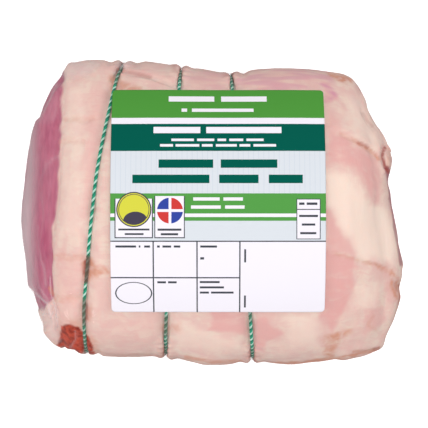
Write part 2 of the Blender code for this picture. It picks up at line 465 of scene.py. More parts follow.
# %% [markdown]
# ## The large end
#
# At the large end the cut face of the muscle swells out of a rim of fat, and a flap of fat covers
# the front corner of it. The rim is a curve across the joint that bows out towards the front. It is
# kept as a formula, because both the carving and the painting need to know where it runs.

# %% Find the rim of fat and the cut face
RIM_X, RIM_BOW = -58.2 * MM, -3.4 * MM  # from the middle of the photograph
BOW_PLACE, BOW_WIDTH = -0.35, 0.42  # in half widths of the joint, below 0 in front of its middle
RIM_RAGGED = 0.9  # mm that the rim strays
RIM_SOFT = 1.2  # mm that it takes to change from fat to lean
half_width = (joint_high.y - joint_low.y) / 2


def rim_at(places):
    """X of the rim of fat at each point's place across the joint."""
    return photo_centre[0] + RIM_X + RIM_BOW * hump(places[:, 1] / half_width, BOW_PLACE, BOW_WIDTH)


past_rim = (rim_at(places) - places[:, 0]) / MM  # how far beyond the rim, in mm
cut_face = ease((past_rim + RIM_RAGGED * lumpy(places, 5 * MM, 3)) / RIM_SOFT)
print("cut face is", round(100 * cut_face.mean()), "% of the skin")

# %% Lay the flap of fat over its front corner
FLAP_START, FLAP_END = (-71.6 * MM, -37.4 * MM), (-63.9 * MM, -32.4 * MM)  # ends of the flap's edge
FLAP_LOW = 0.42  # share of the joint's height, below which the edge curls under
FLAP_CURL = 0.02  # mm for each square millimetre below that height
FLAP_SOFT = 1.5  # mm

edge_run = np.subtract(FLAP_END, FLAP_START)
edge_normal = np.array([edge_run[1], -edge_run[0]]) / np.hypot(*edge_run)
into_flap = (places[:, :2] - photo_centre - FLAP_START) @ edge_normal / MM
below_middle = np.clip((joint_high.z * FLAP_LOW - places[:, 2]) / MM, 0, None)
into_flap = into_flap + 0.9 * lumpy(places, 7 * MM, 4) + 3 * lumpy(places, 20 * MM, 9)
flap = cut_face * ease((into_flap - FLAP_CURL * below_middle**2) / FLAP_SOFT)
lean = cut_face - flap
print("the flap leaves", round(100 * lean.mean()), "% of the skin as lean")

# %% [markdown]
# ## The small end
#
# The small end has a cut face too, smaller and lower, and the roll shows in it as a curl of fat.
# It faces sideways, so the camera hardly sees it, and marks on the photograph can't reach it. Its
# marks are laid out as if seen from the end of the joint, in millimetres across and up. Noise pushes
# them about, so that no edge looks drawn.

# %% Find the small cut face and its curl of fat
SMALL_CUT = (
    # corners: mm across, mm up
    (-15, 16), (-4, 12), (9, 14), (18, 24), (20, 36), (13, 47), (0, 50), (-12, 46), (-19, 36), (-20, 25),
)
CURL = (
    # mm across, mm up
    (21, 38), (11, 44), (-4, 45), (-13, 37), (-13, 26), (-5, 19), (6, 21), (10, 30), (4, 36),
)
CUT_SOFT = 4  # mm
CURL_WIDTH, CURL_SOFT = 0.6, 1.6  # mm
CURL_BREAKS = 7 * MM  # size of the stretches where the curl shows or fades
END_PUSH = 4  # mm

end_on = (places[:, 1:] - (photo_centre[1], 0)) / MM
end_on = end_on + END_PUSH * np.stack([lumpy(places, 14 * MM, 42), lumpy(places, 14 * MM, 43)], axis=1)
at_small_end = ramp(normals[:, 0], 0.3, 0.65) * ramp(normals[:, 2], 0.35, 0.05)
small_cut = at_small_end * patch(end_on, SMALL_CUT, CUT_SOFT)
broken = ramp(lumpy(places, CURL_BREAKS, 44), -0.45, -0.05)
curl = stroke(end_on, CURL, CURL_WIDTH, CURL_SOFT) * broken
print("small cut face is", round(100 * small_cut.mean(), 1), "% of the skin")

# %% [markdown]
# ## Carving the meat
#
# Everything that is carved is a height above the smooth skin, and the heights are added up before
# the skin is moved once. Lumps of two sizes make the fat uneven. On the cut faces the muscles bulge
# out of a lip of fat. Hollows and swellings shape the outline, creases are pressed in, and where one
# layer of fat lies over another, the upper side is lifted and the lower one sinks. On the steep
# sides, where the twine pulls hardest, the lobes of fat nearly close over it.

# %% Raise lumps, muscles and lips
LUMPS = (
    # height in mm, size, seed of the noise
    (0.35, 14 * MM, 5),
    (0.16, 5 * MM, 6),
)
FLAT_UNDER_LABEL = 0.85  # share of the lumps that the label presses flat
MUSCLE_HEIGHT, MUSCLE_SIZE = 1.1, 19 * MM  # height in mm
RIM_LIP, CUT_LIP, FLAP_RISE = 0.8, 0.4, 0.9  # mm
CUT_DEPTH, CURL_DEPTH = 0.8, 0.6  # mm that the small cut face sinks, and the curl in it


def beneath_label(places, normals):
    """1 under the label, easing to 0 just outside it."""
    beyond_x = np.abs(places[:, 0] - label_middle.x) - (label_high.x - label_low.x) / 2
    beyond_y = np.abs(places[:, 1] - label_middle.y) - (label_high.y - label_low.y) / 2
    beyond = np.maximum(beyond_x, beyond_y)
    return (1 - ease(beyond / (2.5 * MM))) * (normals[:, 2] > 0)


lumps = sum(high * lumpy(places, size, seed) for high, size, seed in LUMPS)
lumps = lumps * (1 - FLAT_UNDER_LABEL * beneath_label(places, normals))
muscle = MUSCLE_HEIGHT * lumpy(places, MUSCLE_SIZE, 8)
rim_lip = RIM_LIP * hump(past_rim, 0.8, 1.3) * (1 - flap)
from_cut = from_line(end_on, (*SMALL_CUT, SMALL_CUT[0]))[0]
cut_lip = CUT_LIP * at_small_end * hump(from_cut, 0.8, 2.5)
height = lumps + lean * muscle - rim_lip + FLAP_RISE * flap + cut_lip
height = height - small_cut * (CUT_DEPTH - 0.7 * muscle + CURL_DEPTH * curl)
print("lumps and muscles rise up to", round(height.max(), 1), "mm")

# %% Add hollows and swellings
SWELLINGS = (
    # line on the photograph, width and soft edge in pixels, height in mm, below 0 for a hollow
    (((35, 114), (48, 90), (59, 75)), 3, 6, -1.5),
    (((30, 296), (35, 306), (44, 320)), 6, 9, -1.7),
    (((63, 71), (68, 65)), 3, 7, 0.8),
    (((370, 110), (374, 122)), 4, 10, -0.4),
    (((70, 356), (94, 357)), 3, 8, -1.4),
    (((392, 196), (400, 245), (402, 290), (396, 322)), 6, 12, 1.0),
    (((398, 300), (394, 328), (384, 346)), 6, 11, 1.4),
    (((384, 346), (346, 357)), 4, 10, 1.0),
    (((112, 60), (136, 61)), 4, 8, -0.7),
    (((228, 72), (240, 71)), 4, 8, -0.7),
)

round_the_side = ramp(normals[:, 2], -0.6, -0.1)
for line, width, soft, high in SWELLINGS:
    distance = from_line(seen, line)[0]
    height = height + high * round_the_side * (1 - ease((distance - width / 2) / soft))
print(len(SWELLINGS), "hollows and swellings added")

# %% Press in the creases
CREASES = (
    # line on the photograph, width in pixels, depth in mm, below 0 for a swelling
    (((66, 119), (76, 118), (84, 121), (93, 118)), 2, 0.3),
    (((62, 142), (70, 140), (82, 142)), 2, 0.25),
    (((56, 256), (64, 255), (72, 258), (82, 256)), 2.5, 0.4),
    (((54, 296), (62, 299), (70, 297), (78, 298)), 2.5, 0.35),
    (((112, 80), (121, 71), (150, 76), (172, 84)), 2.5, 0.7),
    (((75, 330), (75, 340), (70, 348)), 1.5, 0.7),
    (((363, 112), (368, 121), (374, 128)), 1, 0.4),
    (((341, 133), (359, 142), (373, 152), (380, 160)), 1, 0.5),
    (((355, 260), (366, 263), (377, 266), (388, 270)), 1, 0.4),
    (((384, 147), (382, 156), (386, 168)), 1.5, 1.2),
    (((388, 149), (389, 157), (388, 166)), 2, -0.6),
    (((352, 351), (366, 350), (380, 347)), 1, 0.4),
    (((396, 284), (399, 294), (398, 303)), 2.5, 0.6),
)
CREASE_SOFT = 2.5  # pixels

for line, width, deep in CREASES:
    height = height - deep * faces_up * stroke(seen, line, width, CREASE_SOFT)
print(len(CREASES), "creases pressed in")

# %% Lift one side of each fold
FOLDS = (
    # line on the photograph, reach in pixels, height in mm of the side on the right of the line
    (((334, 130), (359, 140), (373, 150), (380, 160), (384, 172)), 14, -0.6),
    (((322, 251), (340, 255), (356, 258), (366, 262), (377, 265), (391, 270), (399, 282)), 10, -0.35),
    (((362, 96), (366, 112), (376, 130), (388, 150)), 9, -0.5),
)
FOLD_EDGE = 1.8  # pixels that the step of a fold takes
FOLD_FADE = 8  # pixels that a fold takes to die out past its ends

for line, reach, high in FOLDS:
    distance, side, past = from_line(seen, line)
    step = side * (1 - hump(distance, 0, FOLD_EDGE)) * np.exp(-distance / reach)
    height = height + high * step * faces_up * (1 - ease(past / FOLD_FADE))
print("carved from", round(height.min(), 1), "to", round(height.max(), 1), "mm")

# %% Close the fat over the twine and move the skin
SLOT = 0.8 * MM  # half the width that stays open over the twine
COVER = 1.3 * MM  # how far the lobes rise above the twine's centre
MOST_CLOSING = 3 * MM
LOBE_EDGE, LOBE_WIDTH = 0.5 * MM, 3 * MM  # how soon a lobe rises, and how far it stays raised
FLOOR_GAP = 0.35 * MM  # which leaves room for the film under the joint

steep = ramp(normals[:, 2], 0.6, 0.25) * ramp(normals[:, 2], -0.4, -0.15)
lobes = ramp(aside, SLOT, SLOT + LOBE_EDGE) * ramp(aside, 2 * LOBE_WIDTH, LOBE_WIDTH)
closing = np.clip(outward + COVER, 0, MOST_CLOSING) * steep * lobes
places = places + normals * (height * MM + closing)[:, None]
places[:, 2] = np.maximum(places[:, 2], FLOOR_GAP)
write_points(lamb, places)
places, normals = read_points(lamb)
seen = seen_at(places)
faces_up = seen_from_above(normals)
outward, aside = from_twine(places, normals)
print("the fat rises beside the twine by up to", round(closing.max() / MM, 1), "mm")

# %% [markdown]
# ## Painting the meat
#
# Lamb fat is creamy where it is thick and pink where the lean shows through. A shader can't know
# where that is on this joint, so the marks are painted on the points of the mesh as numbers from
# 0 to 1, and the material mixes its colours by them. Broad areas are patches, and lines of juice
# are strokes; many of these lines lie in creases, folds and notches, where they are painted shade
# as well. Both are laid on places that noise has pushed about, so that their edges are ragged,
# and both fade out down the sides. Along the rim, where the sides turn away from the light, shade
# is painted on too.

# %% List the pink and creamy patches
BLUSH = (
    # corners of a shape on the photograph, soft edge in pixels, strength
    (((328, 134), (345, 137), (362, 147), (374, 157), (379, 175), (381, 204), (374, 206), (366, 186),
      (352, 168), (328, 163)), 9, 0.9),
    (((326, 110), (342, 117), (350, 136), (328, 140)), 9, 0.5),
    (((322, 206), (337, 221), (345, 238), (353, 255), (326, 252)), 7, 0.7),
    (((322, 250), (354, 257), (357, 268), (354, 282), (347, 300), (339, 318), (331, 330),
      (320, 322)), 6, 0.95),
    (((208, 308), (247, 308), (247, 335), (236, 334), (220, 330), (207, 329), (210, 320)), 5, 0.9),
    (((251, 320), (268, 320), (283, 333), (270, 340), (262, 353), (250, 351)), 5, 0.85),
    (((186, 72), (250, 74), (330, 70), (334, 92), (186, 92)), 8, 0.3),
    (((322, 82), (332, 84), (336, 98), (328, 106), (322, 104)), 9, 0.7),
    (((364, 310), (384, 308), (384, 322), (366, 332)), 6, 0.55),
    (((382, 268), (398, 280), (398, 306), (386, 300)), 8, 0.5),
    (((54, 252), (92, 252), (92, 322), (60, 324)), 12, 0.35),
    (((122, 64), (176, 70), (178, 92), (112, 92)), 10, 0.2),
    (((96, 318), (150, 318), (150, 350), (104, 350)), 14, 0.2),
    (((92, 90), (108, 90), (100, 150), (90, 220), (82, 220)), 9, 0.4),
)
CREAM = (
    (((326, 170), (350, 175), (362, 190), (370, 206), (386, 206), (397, 240), (396, 262), (376, 260),
      (358, 256), (349, 236), (334, 212), (326, 204)), 12, 0.9),
    (((286, 318), (318, 316), (318, 346), (290, 346)), 12, 0.6),
    (((352, 284), (380, 284), (376, 306), (352, 310)), 12, 0.5),
    (((348, 96), (360, 98), (382, 146), (376, 150), (352, 130)), 10, 0.5),
    (((66, 84), (84, 84), (80, 236), (60, 236)), 10, 0.35),
    (((175, 318), (204, 330), (240, 340), (240, 352), (178, 350)), 9, 0.5),
)
print(len(BLUSH), "pink patches and", len(CREAM), "creamy ones")

# %% List the patches of blood and stain
BLOOD = (
    # corners of a shape on the photograph, soft edge in pixels, strength
    (((61, 326), (70, 324), (79, 327), (87, 335), (90, 343), (96, 354), (78, 354), (63, 350), (56, 346),
      (60, 338)), 9, 1.0),
)
STAIN = (
    (((60, 322), (84, 321), (96, 338), (101, 354), (76, 358), (52, 350)), 9, 0.45),
    (((80, 262), (90, 259), (99, 268), (97, 277), (83, 277)), 6, 0.8),
    (((88, 264), (112, 270), (112, 276), (90, 275)), 4, 0.7),
    (((110, 76), (126, 82), (142, 88), (142, 92), (110, 92)), 6, 0.6),
    (((325, 336), (338, 331), (353, 329), (353, 333), (341, 338), (336, 348), (334, 358),
      (325, 358)), 6, 0.75),
    (((161, 324), (181, 323), (181, 331), (162, 332)), 6, 0.45),
    (((326, 71), (354, 78), (350, 82), (328, 77)), 4, 0.9),
    (((392, 270), (400, 282), (399, 300), (393, 296), (389, 276)), 4, 0.8),
    (((80, 304), (92, 304), (92, 320), (80, 320)), 5, 0.5),
)
MAGENTA = (
    (((236, 68), (330, 66), (334, 84), (300, 90), (236, 88)), 7, 0.55),
    (((320, 80), (333, 83), (336, 96), (326, 103)), 7, 1.0),
    (((180, 68), (236, 72), (236, 90), (180, 90)), 8, 0.25),
)
print(sum(len(patches) for patches in (BLOOD, STAIN, MAGENTA)), "patches of blood and stain")

# %% List the strokes
PURPLE = (
    # line on the photograph, width in pixels, strength
    (((387, 168), (390, 182), (392, 197)), 3, 0.75),
    # a thin dark line down the right rim: lean showing, and painted shade where the side turns away
    (((390, 198), (394, 222), (398, 245), (401, 264)), 1.5, 0.6),
)
# lines of juice, most of them along creases and folds, where they also paint the shade in the crease
JUICE_AND_CREASE_SHADE = (
    # line on the photograph, width in pixels, strength
    (((341, 134), (352, 140), (361, 144)), 1.5, 0.45),
    (((359, 144), (366, 148), (373, 152), (379, 159)), 2, 0.65),
    (((335, 254), (356, 260), (366, 262)), 1, 0.35),
    (((364, 262), (377, 265), (390, 271), (399, 281)), 0.8, 0.6),
    (((378, 268), (390, 273), (396, 280)), 0.6, 0.4),
    (((66, 119), (76, 118), (84, 121), (93, 118)), 4, 0.2),
    (((62, 142), (70, 140), (82, 142)), 4, 0.15),
    (((56, 257), (64, 256), (72, 259), (82, 257)), 5, 0.3),
    (((54, 297), (62, 300), (70, 298), (78, 299)), 5, 0.3),
    (((50, 288), (53, 294)), 2, 0.6),
    (((354, 352), (366, 351), (379, 348)), 1, 0.6),
    (((262, 364), (300, 363), (330, 360), (352, 356), (378, 349)), 2, 0.8),
    (((388, 149), (389, 157), (388, 166)), 2, 0.4),
    (((186, 357), (212, 362), (240, 361)), 2, 0.6),
    (((373, 316), (368, 325), (376, 330)), 1.5, 0.3),
)
SHADES = (
    # line on the photograph, width in pixels, strength
    (((117, 76), (121, 70), (150, 77)), 2, 0.35),
    (((358, 143), (367, 147)), 1.5, 0.45),
    (((384, 148), (382, 156), (385, 167), (389, 172)), 1, 1.0),
    (((363, 114), (368, 121), (372, 126)), 1, 0.3),
    (((374, 349), (379, 348)), 1, 0.5),
    (((400, 286), (402, 294), (399, 304)), 2, 0.55),
    (((400, 238), (404, 260), (404, 284)), 1.5, 0.4),
    (((87, 262), (86, 274)), 3, 0.8),
    (((86, 305), (86, 318)), 3, 0.5),
)
NOTCHES = (
    # where juice gathers and shade falls beside a twine, painted darker: line on the photograph, width in
    # pixels, strength
    (((116, 66), (124, 72)), 6, 0.6),
    (((172, 67), (184, 70)), 6, 1.0),
    (((222, 74), (238, 77)), 6, 1.0),
    (((160, 353), (172, 353)), 6, 1.0),
    (((242, 358), (258, 358)), 6, 1.0),
)
print(sum(len(strokes) for strokes in (PURPLE, JUICE_AND_CREASE_SHADE, SHADES, NOTCHES)), "strokes")

# %% Push the edges about
def wander(seed, far):
    """Where the skin shows in the photograph, pushed about so that painted edges come out ragged."""
    push = np.stack([lumpy(places, 7 * MM, seed), lumpy(places, 7 * MM, seed + 1)], axis=1)
    fine_push = np.stack([lumpy(places, 2.5 * MM, seed + 2), lumpy(places, 2.5 * MM, seed + 3)], axis=1)
    return seen + far * (push + 0.45 * fine_push)


ragged = wander(21, 4)
blood_edge = wander(23, 1.8)
barely_pushed = wander(25, 1.2)
print("edges stray by up to", round(float(np.abs(ragged - seen).max()), 1), "pixels")

# %% Paint with patches and draw with strokes
def strongest(*values):
    """The largest of the values at each point."""
    return np.maximum.reduce(values)


def paint(patches, elsewhere=0, on=ragged):
    """The patches on the side that the camera sees, and elsewhere the value given."""
    value = strongest(*(strength * patch(on, corners, soft) for corners, soft, strength in patches))
    return value * faces_up + elsewhere * (1 - faces_up)


uneven_tilt = normals[:, 2] + 0.3 * np.minimum(lumpy(places, 4 * MM, 50), 0)
fading_down = ramp(uneven_tilt, -0.02, 0.16)


def draw(strokes, soft):
    """Strokes along lines, which fade out unevenly down the sides."""
    drawn = [strength * stroke(barely_pushed, line, width, soft) for line, width, strength in strokes]
    return strongest(*drawn) * fading_down


def near(reach):
    """1 at a twine, falling off beside it."""
    return hump(aside, 0, reach)


print("a twine's juice reaches", round(100 * near(2 * MM).mean()), "% of the skin")

# %% Work out where stains gather, and where shade is painted beside the twine
sides = ramp(normals[:, 2], 0.42, 0.02)  # 1 where the skin is steep or faces down
pink_below = ramp(lumpy(places, 24 * MM, 31), 0.05, 0.3)
rusty = 0.28 * sides * ramp(lumpy(places, 16 * MM, 33), -0.1, 0.5) * (1 - cut_face)
# patches in the twine's groove on the sides, painted with juice stain and with shade
groove_juice_and_shade = sides * ramp(lumpy(places, 9 * MM, 47), -0.6, -0.1)
beside_twine = ramp(lumpy(places, 5 * MM, 49), -0.5, 0) * near(2.0 * MM)
unbroken = 1 - 0.7 * ramp(normals[:, 2], 0.25, 0.05) * ramp(lumpy(places, 5 * MM, 48), -0.15, 0.15)
lengthwise = ramp(lumpy(places * (0.2, 1, 1), 2.6 * MM, 45), -0.25, 0.25)
print("sides and underside are", round(100 * sides.mean()), "% of the skin")

# %% Work out where the rim of the joint darkens, as juice stain and as painted shade
DARK_FROM, DARK_FULL = -53 * MM, -41 * MM  # to the right of the photograph's middle
FRONT_HALF = 15 * MM  # in front of the middle, where the rust is at its full strength

past_strip = ramp(places[:, 0] - photo_centre[0], DARK_FROM, DARK_FULL) * (1 - cut_face)
# the rim, where the sides turn away from the light, is painted darker: painted shade, and at the front juice
# stain too
rim_stain_and_shade = ramp(normals[:, 2], 0.42, 0.12) * ramp(normals[:, 2], -0.5, 0) * past_strip
rim_stain_and_shade = rim_stain_and_shade * (0.4 + 0.6 * ramp(lumpy(places, 26 * MM, 35), -0.6, -0.2))
toward_front = ramp(places[:, 1] - photo_centre[1], FRONT_HALF, -FRONT_HALF)
print("the rim darkens over", round(100 * rim_stain_and_shade.mean()), "% of the skin")

# %% Paint the marks on the mesh
def store(obj, name, value):
    """Keeps one number for each point of a mesh, under a name that a shader can read."""
    layer = obj.data.attributes.new(name, "FLOAT", "POINT")
    layer.data.foreach_set("value", np.clip(value, 0, 1).astype(np.float32))


# stains: patches of stain, juice lines that also paint the shade in creases and folds, and juice in the
# twine's groove
stains = (paint(STAIN) * unbroken, draw(JUICE_AND_CREASE_SHADE, 2), 0.5 * groove_juice_and_shade * near(2.6 * MM))
# painted shade in slits, folds and the notches beside the twine, mixed with dark juice
juice_and_shade = (draw(SHADES, 2), draw(NOTCHES, 3) * beside_twine, 0.6 * groove_juice_and_shade * near(1.3 * MM))
marks = {
    "lean": strongest(lean, small_cut * (1 - 0.65 * curl)),
    "blush": paint(BLUSH, 0.8 * pink_below),
    "cream": paint(CREAM, 0.6 * (1 - pink_below)),
    "blood": paint(BLOOD, on=blood_edge),
    "stain": strongest(*stains),
    "purple": strongest(draw(PURPLE, 1.5), 0.2 * small_cut * (1 - curl)),
    "magenta": paint(MAGENTA) * lengthwise,
    "shade": strongest(*juice_and_shade),
    # rust on the sides, and along the front rim a mix of juice stain and painted shade
    "rust_and_rim_shade": strongest(rusty, 0.6 * rim_stain_and_shade * toward_front) * (1 - small_cut),
    # painted shade along the rim of the joint
    "edge": 0.3 * rim_stain_and_shade,
}
for name, value in marks.items():
    store(lamb, name, value)
    print(name, "covers", round(100 * float(value.mean()), 1), "%")

# %% [markdown]
# ## The material of the meat
#
# Fat is a soft white that light sinks into, so the shader scatters a little light below the
# surface. Its colour starts as a mottled cream-pink. Each painted mark then mixes in its own
# colour: pink lean, brick-red blood, orange-brown stains, and painted shade, dark red-brown in
# creases, slits and notches and along the rim. Lean meat has fibres, which are fine
# streaks of lighter and darker red, and pale seams between the muscles.

# %% Make the colour tools
def speckle(tree, size, detail=2.0, stretch=(1, 1, 1), warp=0.0):
    """Noise from 0 to 1 in the object's own space, with marks of the size given."""
    place = add_node(tree, "TexCoord").outputs["Object"]
    place = add_node(tree, "Mapping", {"Vector": place, "Scale": stretch}).outputs["Vector"]
    inputs = {"Vector": place, "Scale": 1 / size, "Detail": detail, "Distortion": warp}
    return add_node(tree, "TexNoise", inputs).outputs["Fac"]


def times(tree, first, second):
    """Multiplies two values."""
    return add_node(tree, "Math", {0: first, 1: second}, operation="MULTIPLY").outputs[0]


def blend(tree, share, first, second):
    """Mixes two colours, each a code or a node's output, by a share from 0 to 1."""
    first, second = (srgb(c) if isinstance(c, str) else c for c in (first, second))
    return add_node(tree, "Mix", {0: share, 6: first, 7: second}, data_type="RGBA").outputs[2]


def mark(tree, name):
    """Reads a number that was painted on the mesh."""
    return add_node(tree, "Attribute", attribute_name=name).outputs["Fac"]


print("the shader can read", ", ".join(marks))

# %% Mix the fat
FAT, FAT_PINK, FAT_CREAM, BLUSH_COLOUR = "#EAD0C3", "#E5BBB4", "#F6DFD1", "#E4ADA9"


def fat_colour(tree):
    """Cream-pink fat with a soft mottle and fine veins, creamier or pinker where it is painted so."""
    mottle = sharpen(tree, speckle(tree, 8 * MM, 4, (1, 0.6, 1), 0.6), 0.35, 0.68)
    fat = blend(tree, times(tree, mottle, 0.8), FAT, FAT_PINK)
    veins = sharpen(tree, speckle(tree, 3 * MM, 5, (0.5, 1.4, 1), 0.8), 0.44, 0.6)
    fat = blend(tree, times(tree, veins, 0.5), fat, FAT_PINK)
    fat = blend(tree, mark(tree, "cream"), fat, FAT_CREAM)
    streaks = sharpen(tree, speckle(tree, 5 * MM, 4, (0.4, 1.6, 1.6), 0.5), 0.3, 0.6)
    thin_fat = times(tree, mark(tree, "blush"), sharpen(tree, streaks, -1.2, 1.0))
    return blend(tree, thin_fat, fat, BLUSH_COLOUR)


print("fat is", FAT, "and turns to", BLUSH_COLOUR, "where it is thin")

# %% Mix the lean
LEAN_COLOUR, LEAN_DARK, SEAM_COLOUR = "#B8617C", "#A8536F", "#DDA9B2"
SEAM_CELLS = 42  # muscles to a metre
SEAM_PUSH = 0.012  # metres that noise bends a seam
SEAMS_FROM, SEAMS_FULL = 42 * MM, 25 * MM  # heights below which the seams show


def fibre_noise(tree):
    """Fine streaks across the cut face."""
    return speckle(tree, 1.3 * MM, 3, (1, 0.2, 0.5), 0.4)


def muscle_seams(tree):
    """Thin bent lines between the muscles, in the lower part of the cut face."""
    place = add_node(tree, "TexCoord").outputs["Object"]
    height = add_node(tree, "SeparateXYZ", {0: place}).outputs[2]
    place = add_node(tree, "Mapping", {"Vector": place, "Scale": (0.35, 0.8, 1.2)}).outputs["Vector"]
    push = add_node(tree, "TexNoise", {"Vector": place, "Scale": 90, "Detail": 2}).outputs["Color"]
    push = add_node(tree, "VectorMath", {0: push, 1: (SEAM_PUSH,) * 3}, operation="MULTIPLY").outputs[0]
    place = add_node(tree, "VectorMath", {0: place, 1: push}, operation="ADD").outputs[0]
    cells = add_node(tree, "TexVoronoi", {"Vector": place, "Scale": SEAM_CELLS}, feature="DISTANCE_TO_EDGE")
    seams = sharpen(tree, cells.outputs["Distance"], 0.06, 0.0)
    return times(tree, seams, sharpen(tree, height, SEAMS_FROM, SEAMS_FULL))


def lean_colour(tree, fibres):
    """Streaky red muscle with pale seams."""
    broad = sharpen(tree, speckle(tree, 5 * MM, 2, (1, 0.18, 0.5), 0.4), 0.3, 0.7)
    flesh = blend(tree, sharpen(tree, fibres, 0.3, 0.75), LEAN_COLOUR, LEAN_DARK)
    flesh = blend(tree, times(tree, broad, 0.22), flesh, SEAM_COLOUR)
    return blend(tree, times(tree, muscle_seams(tree), 0.5), flesh, SEAM_COLOUR)


print("lean is", LEAN_COLOUR, "with streaks of", LEAN_DARK)

# %% Mix the stains, the painted shade and the blood
STAIN_AND_SHADE_COLOUR, PURPLE_COLOUR, MAGENTA_COLOUR = "#D48C70", "#8E3450", "#D998AA"
SHADE_COLOUR, RUST_AND_RIM_SHADE_COLOUR, RIM_SHADE_COLOUR = "#9C3A30", "#D28A72", "#904A48"
BLOOD_COLOUR, BLOOD_DARK = "#C44E38", "#8C2F22"


def stained(tree, colour):
    """The colour with each painted stain, and the painted shade, mixed over it, the broad ones first."""
    patchy = sharpen(tree, speckle(tree, 6 * MM, 4, (0.6, 1, 1), 0.8), 0.38, 0.6)
    rust_and_rim_shade = times(tree, mark(tree, "rust_and_rim_shade"), sharpen(tree, patchy, -0.6, 1.6))
    # rust on the sides, and painted shade along the rim
    colour = blend(tree, rust_and_rim_shade, colour, RUST_AND_RIM_SHADE_COLOUR)
    colour = blend(tree, mark(tree, "magenta"), colour, MAGENTA_COLOUR)
    # painted shade along the rim, dark red-brown
    colour = blend(tree, times(tree, mark(tree, "edge"), 0.8), colour, RIM_SHADE_COLOUR)
    colour = blend(tree, mark(tree, "purple"), colour, PURPLE_COLOUR)
    uneven = sharpen(tree, speckle(tree, 4 * MM, 4, warp=0.6), 0.2, 0.62)
    # orange-brown stain, which along creases and folds is painted shade as well
    colour = blend(tree, times(tree, mark(tree, "stain"), uneven), colour, STAIN_AND_SHADE_COLOUR)
    # dark red-brown painted shade in creases, slits and notches, with dark juice
    return blend(tree, times(tree, mark(tree, "shade"), 0.85), colour, SHADE_COLOUR)


def bloodied(tree, colour):
    """The colour with clotted blood over it."""
    clots = sharpen(tree, speckle(tree, 3 * MM, 3, warp=0.4), 0.36, 0.7)
    blood = blend(tree, clots, BLOOD_COLOUR, BLOOD_DARK)
    edge = add_node(tree, "Math", {0: mark(tree, "blood"), 1: times(tree, clots, 0.14)}, operation="ADD")
    return blend(tree, sharpen(tree, edge.outputs[0], 0.25, 0.8), colour, blood)


print("blood is", BLOOD_COLOUR, "with clots of", BLOOD_DARK)

# %% Put the meat's material together
SCATTER_SHARE, SCATTER_DEPTH = 0.2, 2 * MM
SCATTER_COLOURS = (1, 0.45, 0.35)  # red light goes furthest into fat


def meat_finish():
    """Fat and lean with stains, painted shade and blood, fine fibres in the surface, and light that sinks
    in.
    """
    material, tree, shader = new_finish("lamb_fat_and_lean", 0.5, 0.1)
    fibres = fibre_noise(tree)
    colour = blend(tree, mark(tree, "lean"), fat_colour(tree), lean_colour(tree, fibres))
    colour = bloodied(tree, stained(tree, colour))
    tree.links.new(colour, shader.inputs["Base Color"])
    grain = add_node(tree, "Bump", {"Height": fibres, "Strength": 0.25, "Distance": 0.4 * MM})
    tree.links.new(grain.outputs["Normal"], shader.inputs["Normal"])
    shader.inputs["Subsurface Weight"].default_value = SCATTER_SHARE
    shader.inputs["Subsurface Radius"].default_value = SCATTER_COLOURS
    shader.inputs["Subsurface Scale"].default_value = SCATTER_DEPTH
    return material


lamb.data.materials.append(meat_finish())
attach(lamb, "root")
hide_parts("wrapped_lamb")
print("the meat's material has", len(lamb.data.materials[0].node_tree.nodes), "nodes")

# %% [markdown]
# ## The twine
#
# Butcher's twine is a few thin strands twisted together. Here two are green and one is white,
# which gives the candy stripe. Each strand is a thin tube that winds round the twine's centre line,
# a third of a turn after the last. The strands are given in one mesh, with one material each. The
# way round each strand and along it are kept as texture coordinates, so that the fibres run along it.

# %% Set points round a closed line
def across_loop(loop):
    """Two directions at right angles to a closed loop, and to each other, at each of its points."""
    ahead = np.roll(loop, -1, axis=0) - np.roll(loop, 1, axis=0)
    ahead /= np.linalg.norm(ahead, axis=1, keepdims=True)
    out = loop - loop.mean(axis=0)
    out -= ahead * (out * ahead).sum(axis=1, keepdims=True)
    out /= np.linalg.norm(out, axis=1, keepdims=True)
    return out, np.cross(ahead, out)


def tube_points(line, radius, sides):
    """Points of a tube round a closed line: all those of its first side, then of the next."""
    out, over = across_loop(line)
    angles = np.linspace(0, 2 * math.pi, sides, endpoint=False)
    return np.vstack([line + radius * (out * math.cos(a) + over * math.sin(a)) for a in angles])


print("a tube's first corner is at", tube_points(loops["twine_left"], MM, 6)[0].round(3), "m")

# %% Build a mesh of tubes
def turn_outward(mesh):
    """Turns every face of a closed mesh so that its front is on the outside."""
    bm = bmesh.new()
    bm.from_mesh(mesh)
    bmesh.ops.recalc_face_normals(bm, faces=bm.faces)
    bm.to_mesh(mesh)
    bm.free()


def add_tubes(name, lines, radius, sides, materials, turns):
    """One mesh of closed tubes, each with its own material."""
    points, faces, owner, winding = [], [], [], []
    for number, line in enumerate(lines):
        base, count = len(points), len(line)
        points.extend(tube_points(line, radius, sides))
        for side in range(sides):
            for i in range(count):
                j, after = (i + 1) % count, (side + 1) % sides
                corners = ((side, i), (after, i), (after, j), (side, j))
                faces.append(tuple(base + a * count + b for a, b in corners))
                owner.append(number)
                u = (side / sides, (side + 1) / sides)
                v = (turns * i / count, turns * (i + 1) / count)
                winding.extend([(u[0], v[0]), (u[1], v[0]), (u[1], v[1]), (u[0], v[1])])
    mesh = bpy.data.meshes.new(name)
    mesh.from_pydata([tuple(p) for p in points], [], faces)
    for material in materials:
        mesh.materials.append(material)
    mesh.polygons.foreach_set("material_index", owner)
    mesh.uv_layers.new(name="winding").data.foreach_set("uv", np.array(winding).ravel())
    mesh.shade_smooth()
    turn_outward(mesh)
    made = bpy.data.objects.new(name, mesh)
    scene.collection.objects.link(made)
    return made


print("twines to make:", ", ".join(loops))

# %% Mix the colours of the strands
GREENS, DEEP_GREENS, WHITES = ("#26AF8A", "#0F8466"), ("#149474", "#08664E"), ("#CDEBDF", "#A2D4C2")
SOAKED_COLOUR = "#66443A"


